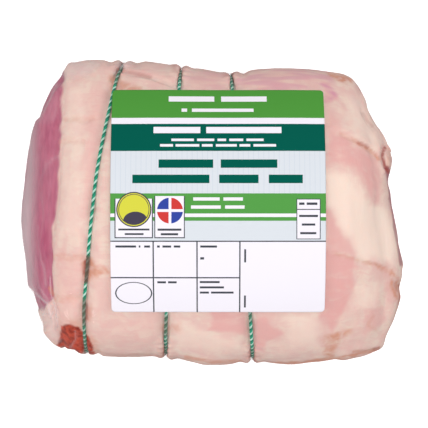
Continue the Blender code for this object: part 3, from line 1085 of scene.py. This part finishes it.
def strand_finish(name, colour, shade):
    """Cotton fibres that run along the strand, with a soft nap, darker where juice has soaked in."""
    material, tree, shader = new_finish(name, 0.85, 0.2)
    place = add_node(tree, "UVMap", uv_map="winding").outputs["UV"]
    place = add_node(tree, "Mapping", {"Vector": place, "Scale": (9, 3, 1)}).outputs["Vector"]
    fibres = add_node(tree, "TexNoise", {"Vector": place, "Scale": 2, "Detail": 3}).outputs["Fac"]
    cotton = blend(tree, sharpen(tree, fibres, 0.35, 0.65), colour, shade)
    cotton = blend(tree, times(tree, mark(tree, "soaked"), 0.85), cotton, SOAKED_COLOUR)
    tree.links.new(cotton, shader.inputs["Base Color"])
    bump = add_node(tree, "Bump", {"Height": fibres, "Strength": 0.5, "Distance": 0.1 * MM})
    tree.links.new(bump.outputs["Normal"], shader.inputs["Normal"])
    shader.inputs["Sheen Weight"].default_value = 0.2
    return material


cottons = (
    strand_finish("twine_green", *GREENS),
    strand_finish("twine_deep_green", *DEEP_GREENS),
    strand_finish("twine_white", *WHITES),
)
print("strands are", ", ".join(material.name for material in cottons))

# %% Twist the strands
STRANDS = 3
TWIST_LENGTH = 3.3 * MM  # of one full turn
STRAND_RADIUS = 0.38 * MM
STRAND_OFFSET = 0.33 * MM  # of a strand's middle from the twine's
STRAND_SIDES = 8
FIBRE_REPEATS = 4  # times that the fibres' pattern repeats in one turn


def twist(name, loop):
    """Strands wound round a closed line."""
    out, over = across_loop(loop)
    turns = round(length_round(loop) / TWIST_LENGTH)
    strands = []
    for strand in range(STRANDS):
        angle = 2 * math.pi * (turns * np.arange(len(loop)) / len(loop) + strand / STRANDS)
        aim = out * np.cos(angle)[:, None] + over * np.sin(angle)[:, None]
        strands.append(loop + STRAND_OFFSET * aim)
    return add_tubes(name, strands, STRAND_RADIUS, STRAND_SIDES, cottons, turns * FIBRE_REPEATS)


ropes = {name: twist(name + "_strands", loop) for name, loop in loops.items()}
for rope in ropes.values():
    print(rope.name, "has", len(rope.data.polygons), "faces")

# %% Soak the twine with juice and place it
SOAKED = (
    # line on the photograph, width in pixels, strength
    (((87, 262), (86, 277)), 8, 1.0),
    (((86, 305), (86, 320)), 8, 0.8),
    (((86, 322), (87, 352)), 8, 0.35),
    (((122, 62), (118, 78)), 8, 0.45),
    (((167, 322), (167, 330)), 8, 0.6),
    (((247, 309), (247, 318)), 6, 0.5),
    (((220, 70), (222, 86)), 6, 0.4),
)
SOAKED_SOFT = 5  # pixels
SOAKED_BELOW = 0.3  # share of the joint's height, below which all of the twine is damp

for name, rope in ropes.items():
    rope_places, _ = read_points(rope)
    rope_seen = seen_at(rope_places)
    damp = 0.7 * ramp(rope_places[:, 2] / joint_high.z, SOAKED_BELOW, 0)
    drips = [strength * stroke(rope_seen, line, width, SOAKED_SOFT) for line, width, strength in SOAKED]
    store(rope, "soaked", strongest(damp, *drips))
    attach(rope, "root")
    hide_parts(name)
    print(rope.name, "is darkest where it is", round(float(damp.max()), 2), "damp")

# %% [markdown]
# ## The film
#
# Shrink film lies on the meat everywhere it can, bridges narrow creases, and stands off like a
# tent beside each twine. So the film starts as a copy of the meat's skin, a fraction of a
# millimetre out. Each point is lifted until it clears the twine, and then the film is pulled smooth,
# but never nearer to the meat than it was. Where the film is gathered it has fine pleats, which are
# painted as thin whitish lines: the milkiness of doubled film, and a painted sheen where they catch
# the light. In a few places a whitish veil is painted on as painted highlights, where the film
# catches the light.

# %% Stretch a film over the meat
FILM_GAP = 0.2 * MM
TWINE_CLEARANCE = 0.95 * MM  # from a twine's centre line
TENT_REACH = 1.9 * MM
MOST_TENT, MOST_BRIDGE, MOST_UNDER_LABEL = 3.2 * MM, 2.6 * MM, 0.3 * MM
STRETCH_ROUNDS = 25

film = evaluated_copy(lamb, "clear_film")
film.data.materials.clear()
for name in marks:
    film.data.attributes.remove(film.data.attributes[name])

tent_height = np.clip(outward + TWINE_CLEARANCE, 0, MOST_TENT)
stand_off = np.maximum(FILM_GAP, tent_height * near(TENT_REACH))
stretched = pull_smooth(places + normals * stand_off[:, None], STRETCH_ROUNDS)
bridged = ((stretched - places) * normals).sum(axis=1)
under_label = beneath_label(places, normals) > 0.5
most = np.where(under_label, np.maximum(stand_off, MOST_UNDER_LABEL), MOST_BRIDGE)
stand_off = np.clip(np.maximum(stand_off, bridged), FILM_GAP, most)
print("film stands off by", round(float(stand_off.mean()) / MM, 2), "mm on average")

# %% Gather it in pleats
# pleats are raised in the film and painted whitish: milky doubled film, and painted sheen where they catch
# the light
PLEATS = (
    # line on the photograph, strength
    (((33, 227), (33, 250), (37, 268), (40, 288), (48, 300)), 0.35),
    (((38, 224), (39, 246), (44, 268), (46, 286)), 0.25),
    (((28, 176), (26, 200), (29, 224)), 0.4),
    (((51, 277), (52, 295), (58, 311), (59, 326)), 0.6),
    (((30, 280), (36, 292), (47, 303), (52, 318)), 0.7),
    (((57, 86), (50, 100), (38, 124)), 0.4),
    (((66, 72), (69, 66), (76, 63)), 0.5),
    (((75, 330), (76, 338), (70, 348)), 0.25),
)
PLEAT_HEIGHT = 0.5 * MM
PLEAT_WIDTH, PLEAT_SOFT = 0.4, 1.9  # pixels
CRUMPLED = ((28, 276), (40, 290), (52, 300), (60, 326), (56, 346), (38, 326), (28, 300))
FILM_FLOOR_GAP = 0.1 * MM


def ridges(places, size, seed, sharp):
    """1 along the winding lines where noise crosses 0, and 0 away from them."""
    return np.clip(1 - np.abs(lumpy(places, size, seed)) * sharp, 0, 1)


drawn = [strength * stroke(barely_pushed, line, PLEAT_WIDTH, PLEAT_SOFT) for line, strength in PLEATS]
pleats = strongest(*drawn) * faces_up
crumpled = 0.7 * patch(seen, CRUMPLED, 8) * ridges(places, 7 * MM, 61, 7)
large_end_pleats = 0.16 * cut_face * ridges(places * (1, 0.45, 1), 9 * MM, 62, 9)
gathered = strongest(pleats, crumpled, large_end_pleats)
film_places = places + normals * (stand_off + PLEAT_HEIGHT * gathered)[:, None]
film_places[:, 2] = np.maximum(film_places[:, 2], FILM_FLOOR_GAP)
write_points(film, film_places)
print("pleats cover", round(100 * float((gathered > 0.1).mean()), 1), "% of the film")

# %% Paint it whitish where it is gathered, and painted highlights where it catches the light
SHEEN_PATCHES = (
    # painted highlights, where the film catches the light
    # corners of a shape on the photograph, soft edge in pixels, strength
    (((61, 64), (70, 61), (104, 61), (96, 70), (72, 80), (61, 76)), 8, 0.45),
    (((38, 306), (56, 302), (62, 340), (50, 342)), 6, 0.35),
    (((116, 59), (134, 60), (132, 66), (122, 70), (116, 68)), 5, 0.4),
    (((36, 118), (50, 88), (58, 80), (50, 100), (42, 124)), 6, 0.3),
)
SHEEN_FROM, SHEEN_FULL = -64.9 * MM, -72.9 * MM  # to the right of the photograph's middle
SHEEN_STRENGTH = 0.75

# a painted reflection: a whitish veil over the upper outer part of the cut face, where the film meets the
# light at a slant
upper = ramp(places[:, 2], 24 * MM, 44 * MM)
beyond_edge = ramp(places[:, 0] - photo_centre[0], SHEEN_FROM, SHEEN_FULL)
haze = strongest(SHEEN_STRENGTH * cut_face * upper * beyond_edge, paint(SHEEN_PATCHES))
# painted sheen and highlights, with the milkiness of gathered film
store(film, "white", strongest(gathered * 0.9, haze))
print("haze dulls", round(100 * float((haze > 0.1).mean()), 1), "% of the film")

# %% [markdown]
# Clear film is see-through, with a gloss that grows towards grazing angles. A mix of a transparent
# and a glossy shader by Fresnel does that, and it works for a sheet with no thickness, where glass
# would bend the light as a solid block. Small wrinkles come from a bump, and they break up the gloss.

# %% Give the film its gloss
MOST_GLOSS = 0.1  # so that the film doesn't turn the rim of the joint white


def film_finish():
    """A clear sheet with a weak gloss, veiled with white where that is painted on it: milky film, and
    painted sheen.
    """
    material = bpy.data.materials.new("clear_shrink_film")
    material.use_nodes = True
    tree = material.node_tree
    tree.nodes.remove(tree.nodes["Principled BSDF"])
    wrinkles = speckle(tree, 7 * MM, 4, (1, 0.5, 1), 0.8)
    bump = add_node(tree, "Bump", {"Height": wrinkles, "Strength": 0.5, "Distance": 0.8 * MM})
    clear = add_node(tree, "BsdfTransparent", {"Color": (1, 1, 1, 1)})
    milky = add_node(tree, "BsdfDiffuse", {"Color": srgb("#F4E8EA")})
    milk_and_sheen = times(tree, mark(tree, "white"), 0.6)
    veil = add_node(tree, "MixShader", {0: milk_and_sheen, 1: clear.outputs[0], 2: milky.outputs[0]})
    gloss = add_node(tree, "BsdfGlossy", {"Roughness": 0.1, "Normal": bump.outputs["Normal"]})
    share = add_node(tree, "Fresnel", {"IOR": 1.3, "Normal": bump.outputs["Normal"]}).outputs["Fac"]
    share = add_node(tree, "Math", {0: share, 1: MOST_GLOSS}, operation="MINIMUM").outputs[0]
    mixed = add_node(tree, "MixShader", {0: share, 1: veil.outputs[0], 2: gloss.outputs[0]})
    tree.links.new(mixed.outputs[0], tree.nodes["Material Output"].inputs["Surface"])
    return material


film.data.materials.append(film_finish())
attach(film, "root")
print("gloss of the film is", MOST_GLOSS, "at most")

# %% [markdown]
# ## The label
#
# The label is a sheet of coated paper, 80 mm wide and 89 mm long, with round corners. It bends over
# the roll, and hardly at all along it. It is built as a fine grid in the sheet's own millimetres,
# because its print is laid out in them, and then laid on the plain label: each row is moved along the
# curve by its length, so the sheet bends but isn't stretched.

# %% Lay out the sheet
SHEET_WIDTH, SHEET_LENGTH = 80 * MM, 89 * MM
SHEET_CORNER = 1.6 * MM
SHEET_THICKNESS = 0.15 * MM
SHEET_LIFT = 0.25 * MM  # so that it clears the film over the twine
FRONT_TRIM = 0.5 * MM  # the photograph's label ends a little before the plain one
GRID_STEP = 1 * MM
BEND_SAMPLES, CURVE_POINTS = 120, 400
BEND_DEGREE = 6  # of the polynomial that smooths the curve

label_tree = surface_tree("label")


def plain_rise(x, y):
    """Where a line straight down at x, y meets the plain label, or None beside it."""
    return label_tree.ray_cast(Vector((x, y, 2 * top)), Vector((0, 0, -1)))[0]


def label_curve():
    """The label's rise along its middle, from its back edge to its front one, as (Y, Z, length so far)."""
    xs = np.linspace(label_low.x + 6 * MM, label_high.x - 6 * MM, 9)
    ys = np.linspace(label_high.y - 0.3 * MM, label_low.y + 0.3 * MM, BEND_SAMPLES)
    zs = [np.mean([plain_rise(x, y).z for x in xs]) for y in ys]
    bend = np.polynomial.Polynomial.fit(ys, zs, BEND_DEGREE)
    ys = np.linspace(label_high.y, label_low.y + FRONT_TRIM, CURVE_POINTS)
    zs = bend(ys)
    length = np.concatenate([[0], np.cumsum(np.hypot(np.diff(ys), np.diff(zs)))])
    return ys, zs, length


curve_y, curve_z, curve_length = label_curve()
print("label's curve is", round(curve_length[-1] / MM, 1), "mm long")

# %% Round the corners of its grid
def grid_line(length):
    """Even places along one side of the sheet, with a few closer ones near the corners."""
    inner = np.arange(SHEET_CORNER, length - SHEET_CORNER + 1e-9, GRID_STEP)
    closer = np.array([0, 0.25, 0.5, 0.75]) * SHEET_CORNER
    return np.concatenate([closer, inner, length - closer[::-1]])


def corner_pull(u, v):
    """Moves a point of the square grid in where the corner is round. All in the sheet's own metres."""
    over_u = abs(u - SHEET_WIDTH / 2) - SHEET_WIDTH / 2 + SHEET_CORNER
    over_v = abs(v - SHEET_LENGTH / 2) - SHEET_LENGTH / 2 + SHEET_CORNER
    if over_u <= 0 or over_v <= 0:
        return u, v
    shrink = 1 - min(1, max(over_u, over_v) / math.hypot(over_u, over_v))
    u -= math.copysign(over_u * shrink, u - SHEET_WIDTH / 2)
    v -= math.copysign(over_v * shrink, v - SHEET_LENGTH / 2)
    return u, v


grid_u, grid_v = grid_line(SHEET_WIDTH), grid_line(SHEET_LENGTH)
print("sheet's grid is", len(grid_u), "by", len(grid_v), "points")

# %% Build the sheet and bend it over the joint
def on_curve(u, v):
    """Where a point of the sheet lies on the joint: u from the left edge, v down from the back edge."""
    share = v / SHEET_LENGTH * curve_length[-1]
    y = np.interp(share, curve_length, curve_y)
    z = np.interp(share, curve_length, curve_z) + SHEET_LIFT
    return label_middle.x - SHEET_WIDTH / 2 + u, y, z


def add_sheet():
    """The bent sheet, which keeps each point's place on the flat sheet as texture coordinates."""
    flat = [corner_pull(u, v) for u in grid_u for v in grid_v]
    rows = len(grid_v)
    faces = [
        (i * rows + j, i * rows + j + 1, (i + 1) * rows + j + 1, (i + 1) * rows + j)
        for i in range(len(grid_u) - 1)
        for j in range(rows - 1)
    ]
    mesh = bpy.data.meshes.new("label_sheet")
    mesh.from_pydata([on_curve(u, v) for u, v in flat], [], faces)
    layer = mesh.uv_layers.new(name="sheet")
    for loop in mesh.loops:
        u, v = flat[loop.vertex_index]
        layer.data[loop.index].uv = (u / SHEET_WIDTH, 1 - v / SHEET_LENGTH)
    mesh.shade_smooth()
    sheet = bpy.data.objects.new("label_sheet", mesh)
    scene.collection.objects.link(sheet)
    return sheet


sheet = add_sheet()
print("sheet has", len(sheet.data.polygons), "faces")

# %% [markdown]
# The joint isn't quite straight from left to right, so the bent sheet would float in some places and
# sink in others. The misfit to the plain label is measured at every point, evened out over the grid
# many times so that no facet shows, and taken away. Then the sheet gets its thickness.

# %% Settle the sheet on the joint and thicken it
LABEL_FIT_ROUNDS = 60


def plain_height(place):
    """Height of the plain label above or below a point, or of its nearest part."""
    return (plain_rise(place[0], place[1]) or label_tree.find_nearest(Vector(place))[0]).z


sheet_places, _ = read_points(sheet)
misfit = np.array([plain_height(place) for place in sheet_places]) + SHEET_LIFT - sheet_places[:, 2]
misfit = misfit.reshape(len(grid_u), len(grid_v))
for _ in range(LABEL_FIT_ROUNDS):
    padded = np.pad(misfit, 1, mode="edge")
    misfit = (padded[:-2, 1:-1] + padded[2:, 1:-1] + padded[1:-1, :-2] + padded[1:-1, 2:]) / 4
sheet_places[:, 2] += misfit.ravel()
write_points(sheet, sheet_places)
thicken = sheet.modifiers.new("thickness", "SOLIDIFY")
thicken.thickness = SHEET_THICKNESS
thicken.offset = 0
print("sheet was settled by up to", round(float(np.abs(misfit).max()) / MM, 2), "mm")

# %% [markdown]
# ## The print
#
# The print is made of fields of colour and plain shapes, laid out in millimetres from the sheet's
# left and back edges. There are rows of small bars, a lime disc with a grey oval in it, a disc in
# quarters, and at the front an empty oval. They could be drawn in a picture, but shapes made from
# numbers stay sharp at any distance. Each shape is a few maths nodes that give 1 inside it and 0
# outside, and it is mixed over what was drawn before it.

# %% List the fields and rules
GREEN, TEAL, PALE, PAPER, INK = "#4D933C", "#00574A", "#D3D8DF", "#ECE8F1", "#464850"
BLUE, RED, LIME, SLATE, FINE_LINE = "#34469C", "#C93D3B", "#D0CE46", "#464151", "#CBD2DB"
LIGHT_GREEN = "#539848"
PALE_FIELD = (0, 80, 27.1, 43.2)  # which also carries fine upright lines
FIELDS = (
    # colour, left, right, top, bottom
    (GREEN, 0, 80, 0, 13.5),
    (PAPER, 0, 80, 13.5, 16.1),
    (TEAL, 0, 80, 16.1, 27.1),
    (PALE, *PALE_FIELD),
    (LIGHT_GREEN, 0, 80, 43.2, 50.7),
    (PAPER, 0, 80, 50.7, 52),
    (LIGHT_GREEN, 0, 80, 52, 53.4),
    (PALE, 0, 80, 53.4, 61),
    (PAPER, 0, 80, 61.2, 89),
    (PAPER, 1.9, 15.8, 45.2, 59.6),
    (PAPER, 16.6, 27.6, 44.2, 59.6),
)
RULES = (
    # colour, left, right, top, bottom
    (INK, 0, 80, 60.8, 61.25),
    (INK, 0, 48.3, 74.65, 75.15),
    (INK, 15.7, 16.2, 61, 89),
    (INK, 31.95, 32.45, 61, 89),
    (INK, 47.85, 48.35, 61, 89),
    (INK, 1.6, 2, 45.2, 59.9),
    (INK, 15.5, 15.9, 45.2, 59.9),
    (INK, 1.6, 15.9, 59.5, 59.9),
    (INK, 16.4, 16.75, 44.2, 59.9),
    (INK, 27.35, 27.7, 44.2, 59.9),
    (INK, 16.4, 27.7, 59.5, 59.9),
    (INK, 69, 78, 49, 49.35),
)
FRAMED = (69, 78, 45.2, 60.3)  # a paper box with a line round it
FRAME_LINE = 0.3
print(len(FIELDS), "fields and", len(RULES), "rules")

# %% List the rows of bars
BARS = (
    # colour, top, bottom, then the ends of each bar
    (PAPER, 3.4, 6, ((21.4, 38.6), (41.2, 58.4))),
    (PAPER, 9.3, 10.8, ((26.3, 28.4), (30.2, 53.4))),
    (PAPER, 17.4, 20, ((15.9, 33.4), (35.6, 63.7))),
    (PAPER, 22.2, 23.2, ((22.6, 31), (32.2, 38.6), (39.8, 43), (44.2, 49.4), (50.6, 57))),
    (PAPER, 24.4, 25.4, ((18.4, 23.2), (24.2, 33), (34, 38), (39.2, 47), (48, 52), (53.2, 61.6))),
    (TEAL, 30.4, 33.6, ((17.9, 38.2), (41, 62))),
    (TEAL, 36.2, 39.4, ((8.2, 36.8), (40.4, 55), (58.8, 71.4))),
    (PAPER, 44.7, 45.9, ((30.8, 40.6), (42, 49.2))),
    (PAPER, 47.7, 48.9, ((30, 41), (42.6, 49.8))),
    (INK, 62.6, 63.4, ((1.9, 9.6), (10.6, 11.2), (12.6, 14.8))),
    (INK, 62.6, 63.4, ((17.4, 18.4), (19.4, 22.6), (23.6, 26))),
    (INK, 62.6, 63.4, ((33.4, 39.6),)),
    (INK, 67, 67.9, ((33.4, 34.8),)),
    (INK, 76.3, 77.1, ((17.4, 20.6), (21.4, 24.6))),
    (INK, 76.2, 77, ((33.2, 40.6),)),
    (INK, 78.3, 79.1, ((33.2, 42.2),)),
    (INK, 80.4, 81.2, ((33.2, 36.6), (37.4, 45.8))),
    (INK, 46.6, 47.5, ((70, 72), (72.8, 76.8))),
    (INK, 51.2, 52, ((70, 77),)),
    (INK, 54.4, 55.2, ((71, 76),)),
    (INK, 57.6, 58.4, ((70.4, 76.4),)),
    (INK, 56.3, 57.1, ((17.6, 26.4),)),
    (INK, 58, 58.8, ((18.8, 25.2),)),
    (INK, 56.3, 57, ((3, 14.6),)),
    (INK, 58, 58.7, ((5.4, 12.4),)),
    (INK, 64, 69, ((49.7, 50.4),)),
    (INK, 82, 87, ((49.7, 50.4),)),
)
print(sum(len(ends) for _, _, _, ends in BARS), "bars")

# %% List the discs and the ovals
LIME_DISC = (8.8, 49.2)  # its centre
LIME_RADIUS = 5.5
DISCS = (
    # colour, centre from the left and from the top, radius
    (SLATE, *LIME_DISC, 6.55),
    (LIME, *LIME_DISC, 6.1),
    (SLATE, *LIME_DISC, 5.75),
    (LIME, *LIME_DISC, LIME_RADIUS),
    (PAPER, 22.2, 49.6, 5.1),
)
HILL = (9.4, 53.6, 4.6, 3.6)  # centre, half width and half height of an oval in the lime disc
QUARTERS = (22.2, 49.6, 4.8, 0.5)  # centre and radius of a quartered disc, half the gap between its quarters
OVAL = (8.5, 81.1, 6.7, 4.35, 0.5)  # centre, half width, half height, thickness of its line
LINE_PITCH = 0.95 * MM  # of the fine upright lines in the pale fields
LINE_WIDTH = 0.14
print(len(DISCS), "discs")

# %% [markdown]
# A rectangle is two comparisons multiplied: is the point within half the width of the middle, and
# within half the height? A disc compares a distance. The paper itself gets a faint tooth and a satin
# coating, and the pale fields carry fine upright lines.

# %% Make the shapes with nodes
def within(tree, value, low, high):
    """1 where a value lies from low to high."""
    inputs = {0: value, 1: (low + high) / 2, 2: (high - low) / 2}
    return add_node(tree, "Math", inputs, operation="COMPARE").outputs[0]


def under(tree, value, limit):
    """1 where a value is less than the limit."""
    return add_node(tree, "Math", {0: value, 1: limit}, operation="LESS_THAN").outputs[0]


def inside_box(tree, u, v, box):
    """1 inside a box, given by its left, right, top and bottom."""
    left, right, upper, lower = box
    return times(tree, within(tree, u, left, right), within(tree, v, upper, lower))


def from_middle(tree, u, v, middle_u, middle_v, squash=1.0):
    """Distance from a point of the sheet, with the height scaled to make a disc an oval."""
    place = add_node(tree, "CombineXYZ", {0: u, 1: times(tree, v, squash)}).outputs[0]
    inputs = {0: place, 1: (middle_u, middle_v * squash, 0)}
    return add_node(tree, "VectorMath", inputs, operation="DISTANCE").outputs["Value"]


def sheet_millimetres(tree):
    """Millimetres from the sheet's left edge and from its back edge."""
    split = add_node(tree, "SeparateXYZ", {0: add_node(tree, "UVMap", uv_map="sheet").outputs["UV"]})
    down = add_node(tree, "Math", {0: 1.0, 1: split.outputs[1]}, operation="SUBTRACT").outputs[0]
    return times(tree, split.outputs[0], SHEET_WIDTH / MM), times(tree, down, SHEET_LENGTH / MM)


print("a sheet is", round(SHEET_WIDTH / MM), "by", round(SHEET_LENGTH / MM), "mm")

# %% Draw the fields, rules and bars
def draw_fields(tree, u, v, colour):
    """The fields of colour, the fine lines, the framed box, the rules and the rows of bars."""
    for ink, *box in FIELDS:
        colour = blend(tree, inside_box(tree, u, v, box), colour, ink)
    wave = add_node(tree, "Math", {0: u, 1: LINE_PITCH / MM}, operation="PINGPONG").outputs[0]
    fine_lines = times(tree, under(tree, wave, LINE_WIDTH), inside_box(tree, u, v, PALE_FIELD))
    colour = blend(tree, fine_lines, colour, FINE_LINE)
    left, right, upper, lower = FRAMED
    inner = (left + FRAME_LINE, right - FRAME_LINE, upper + FRAME_LINE, lower - FRAME_LINE)
    colour = blend(tree, inside_box(tree, u, v, FRAMED), colour, INK)
    colour = blend(tree, inside_box(tree, u, v, inner), colour, PAPER)
    for ink, *box in RULES:
        colour = blend(tree, inside_box(tree, u, v, box), colour, ink)
    for ink, upper, lower, ends in BARS:
        for left, right in ends:
            colour = blend(tree, inside_box(tree, u, v, (left, right, upper, lower)), colour, ink)
    return colour


print("pale field has a fine line every", 2 * LINE_PITCH / MM, "mm")

# %% Draw the discs and the oval
def draw_discs(tree, u, v, colour):
    """The lime disc with its grey oval, and the quartered disc."""
    for ink, middle_u, middle_v, radius in DISCS:
        colour = blend(tree, under(tree, from_middle(tree, u, v, middle_u, middle_v), radius), colour, ink)
    middle_u, middle_v, wide, tall = HILL
    hill = under(tree, from_middle(tree, u, v, middle_u, middle_v, wide / tall), wide)
    in_disc = under(tree, from_middle(tree, u, v, *LIME_DISC), LIME_RADIUS)
    colour = blend(tree, times(tree, hill, in_disc), colour, SLATE)
    middle_u, middle_v, radius, gap = QUARTERS
    in_disc = under(tree, from_middle(tree, u, v, middle_u, middle_v), radius)
    for ink, side in ((BLUE, 1), (RED, -1)):
        for turn in (1, -1):
            across = sorted((middle_u + turn * gap, middle_u + turn * radius))
            down = sorted((middle_v + side * turn * gap, middle_v + side * turn * radius))
            quarter = times(tree, in_disc, inside_box(tree, u, v, (*across, *down)))
            colour = blend(tree, quarter, colour, ink)
    return colour


def draw_oval(tree, u, v, colour):
    """The line of the empty oval."""
    middle_u, middle_v, wide, tall, line = OVAL
    away = from_middle(tree, u, v, middle_u, middle_v, wide / tall)
    return blend(tree, within(tree, away, wide - line / 2, wide + line / 2), colour, INK)


print("oval is", 2 * OVAL[2], "mm wide")

# %% Put the label's material together
def print_finish():
    """The print on coated paper, with a faint tooth in its surface."""
    material, tree, shader = new_finish("printed_label", 0.5, 0.05)
    u, v = sheet_millimetres(tree)
    colour = draw_fields(tree, u, v, srgb(PAPER))
    colour = draw_discs(tree, u, v, colour)
    colour = draw_oval(tree, u, v, colour)
    tree.links.new(colour, shader.inputs["Base Color"])
    tooth = speckle(tree, 0.5 * MM, 3)
    bump = add_node(tree, "Bump", {"Height": tooth, "Strength": 0.15, "Distance": 0.05 * MM})
    tree.links.new(bump.outputs["Normal"], shader.inputs["Normal"])
    return material


sheet.data.materials.append(print_finish())
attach(sheet, "root")
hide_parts("label")
print("the print has", len(sheet.data.materials[0].node_tree.nodes), "nodes")

# %% [markdown]
# ## Finish
#
# Last, the scene is brought up to date, so that every piece is in place.

# %% Bring the scene up to date
bpy.context.view_layer.update()
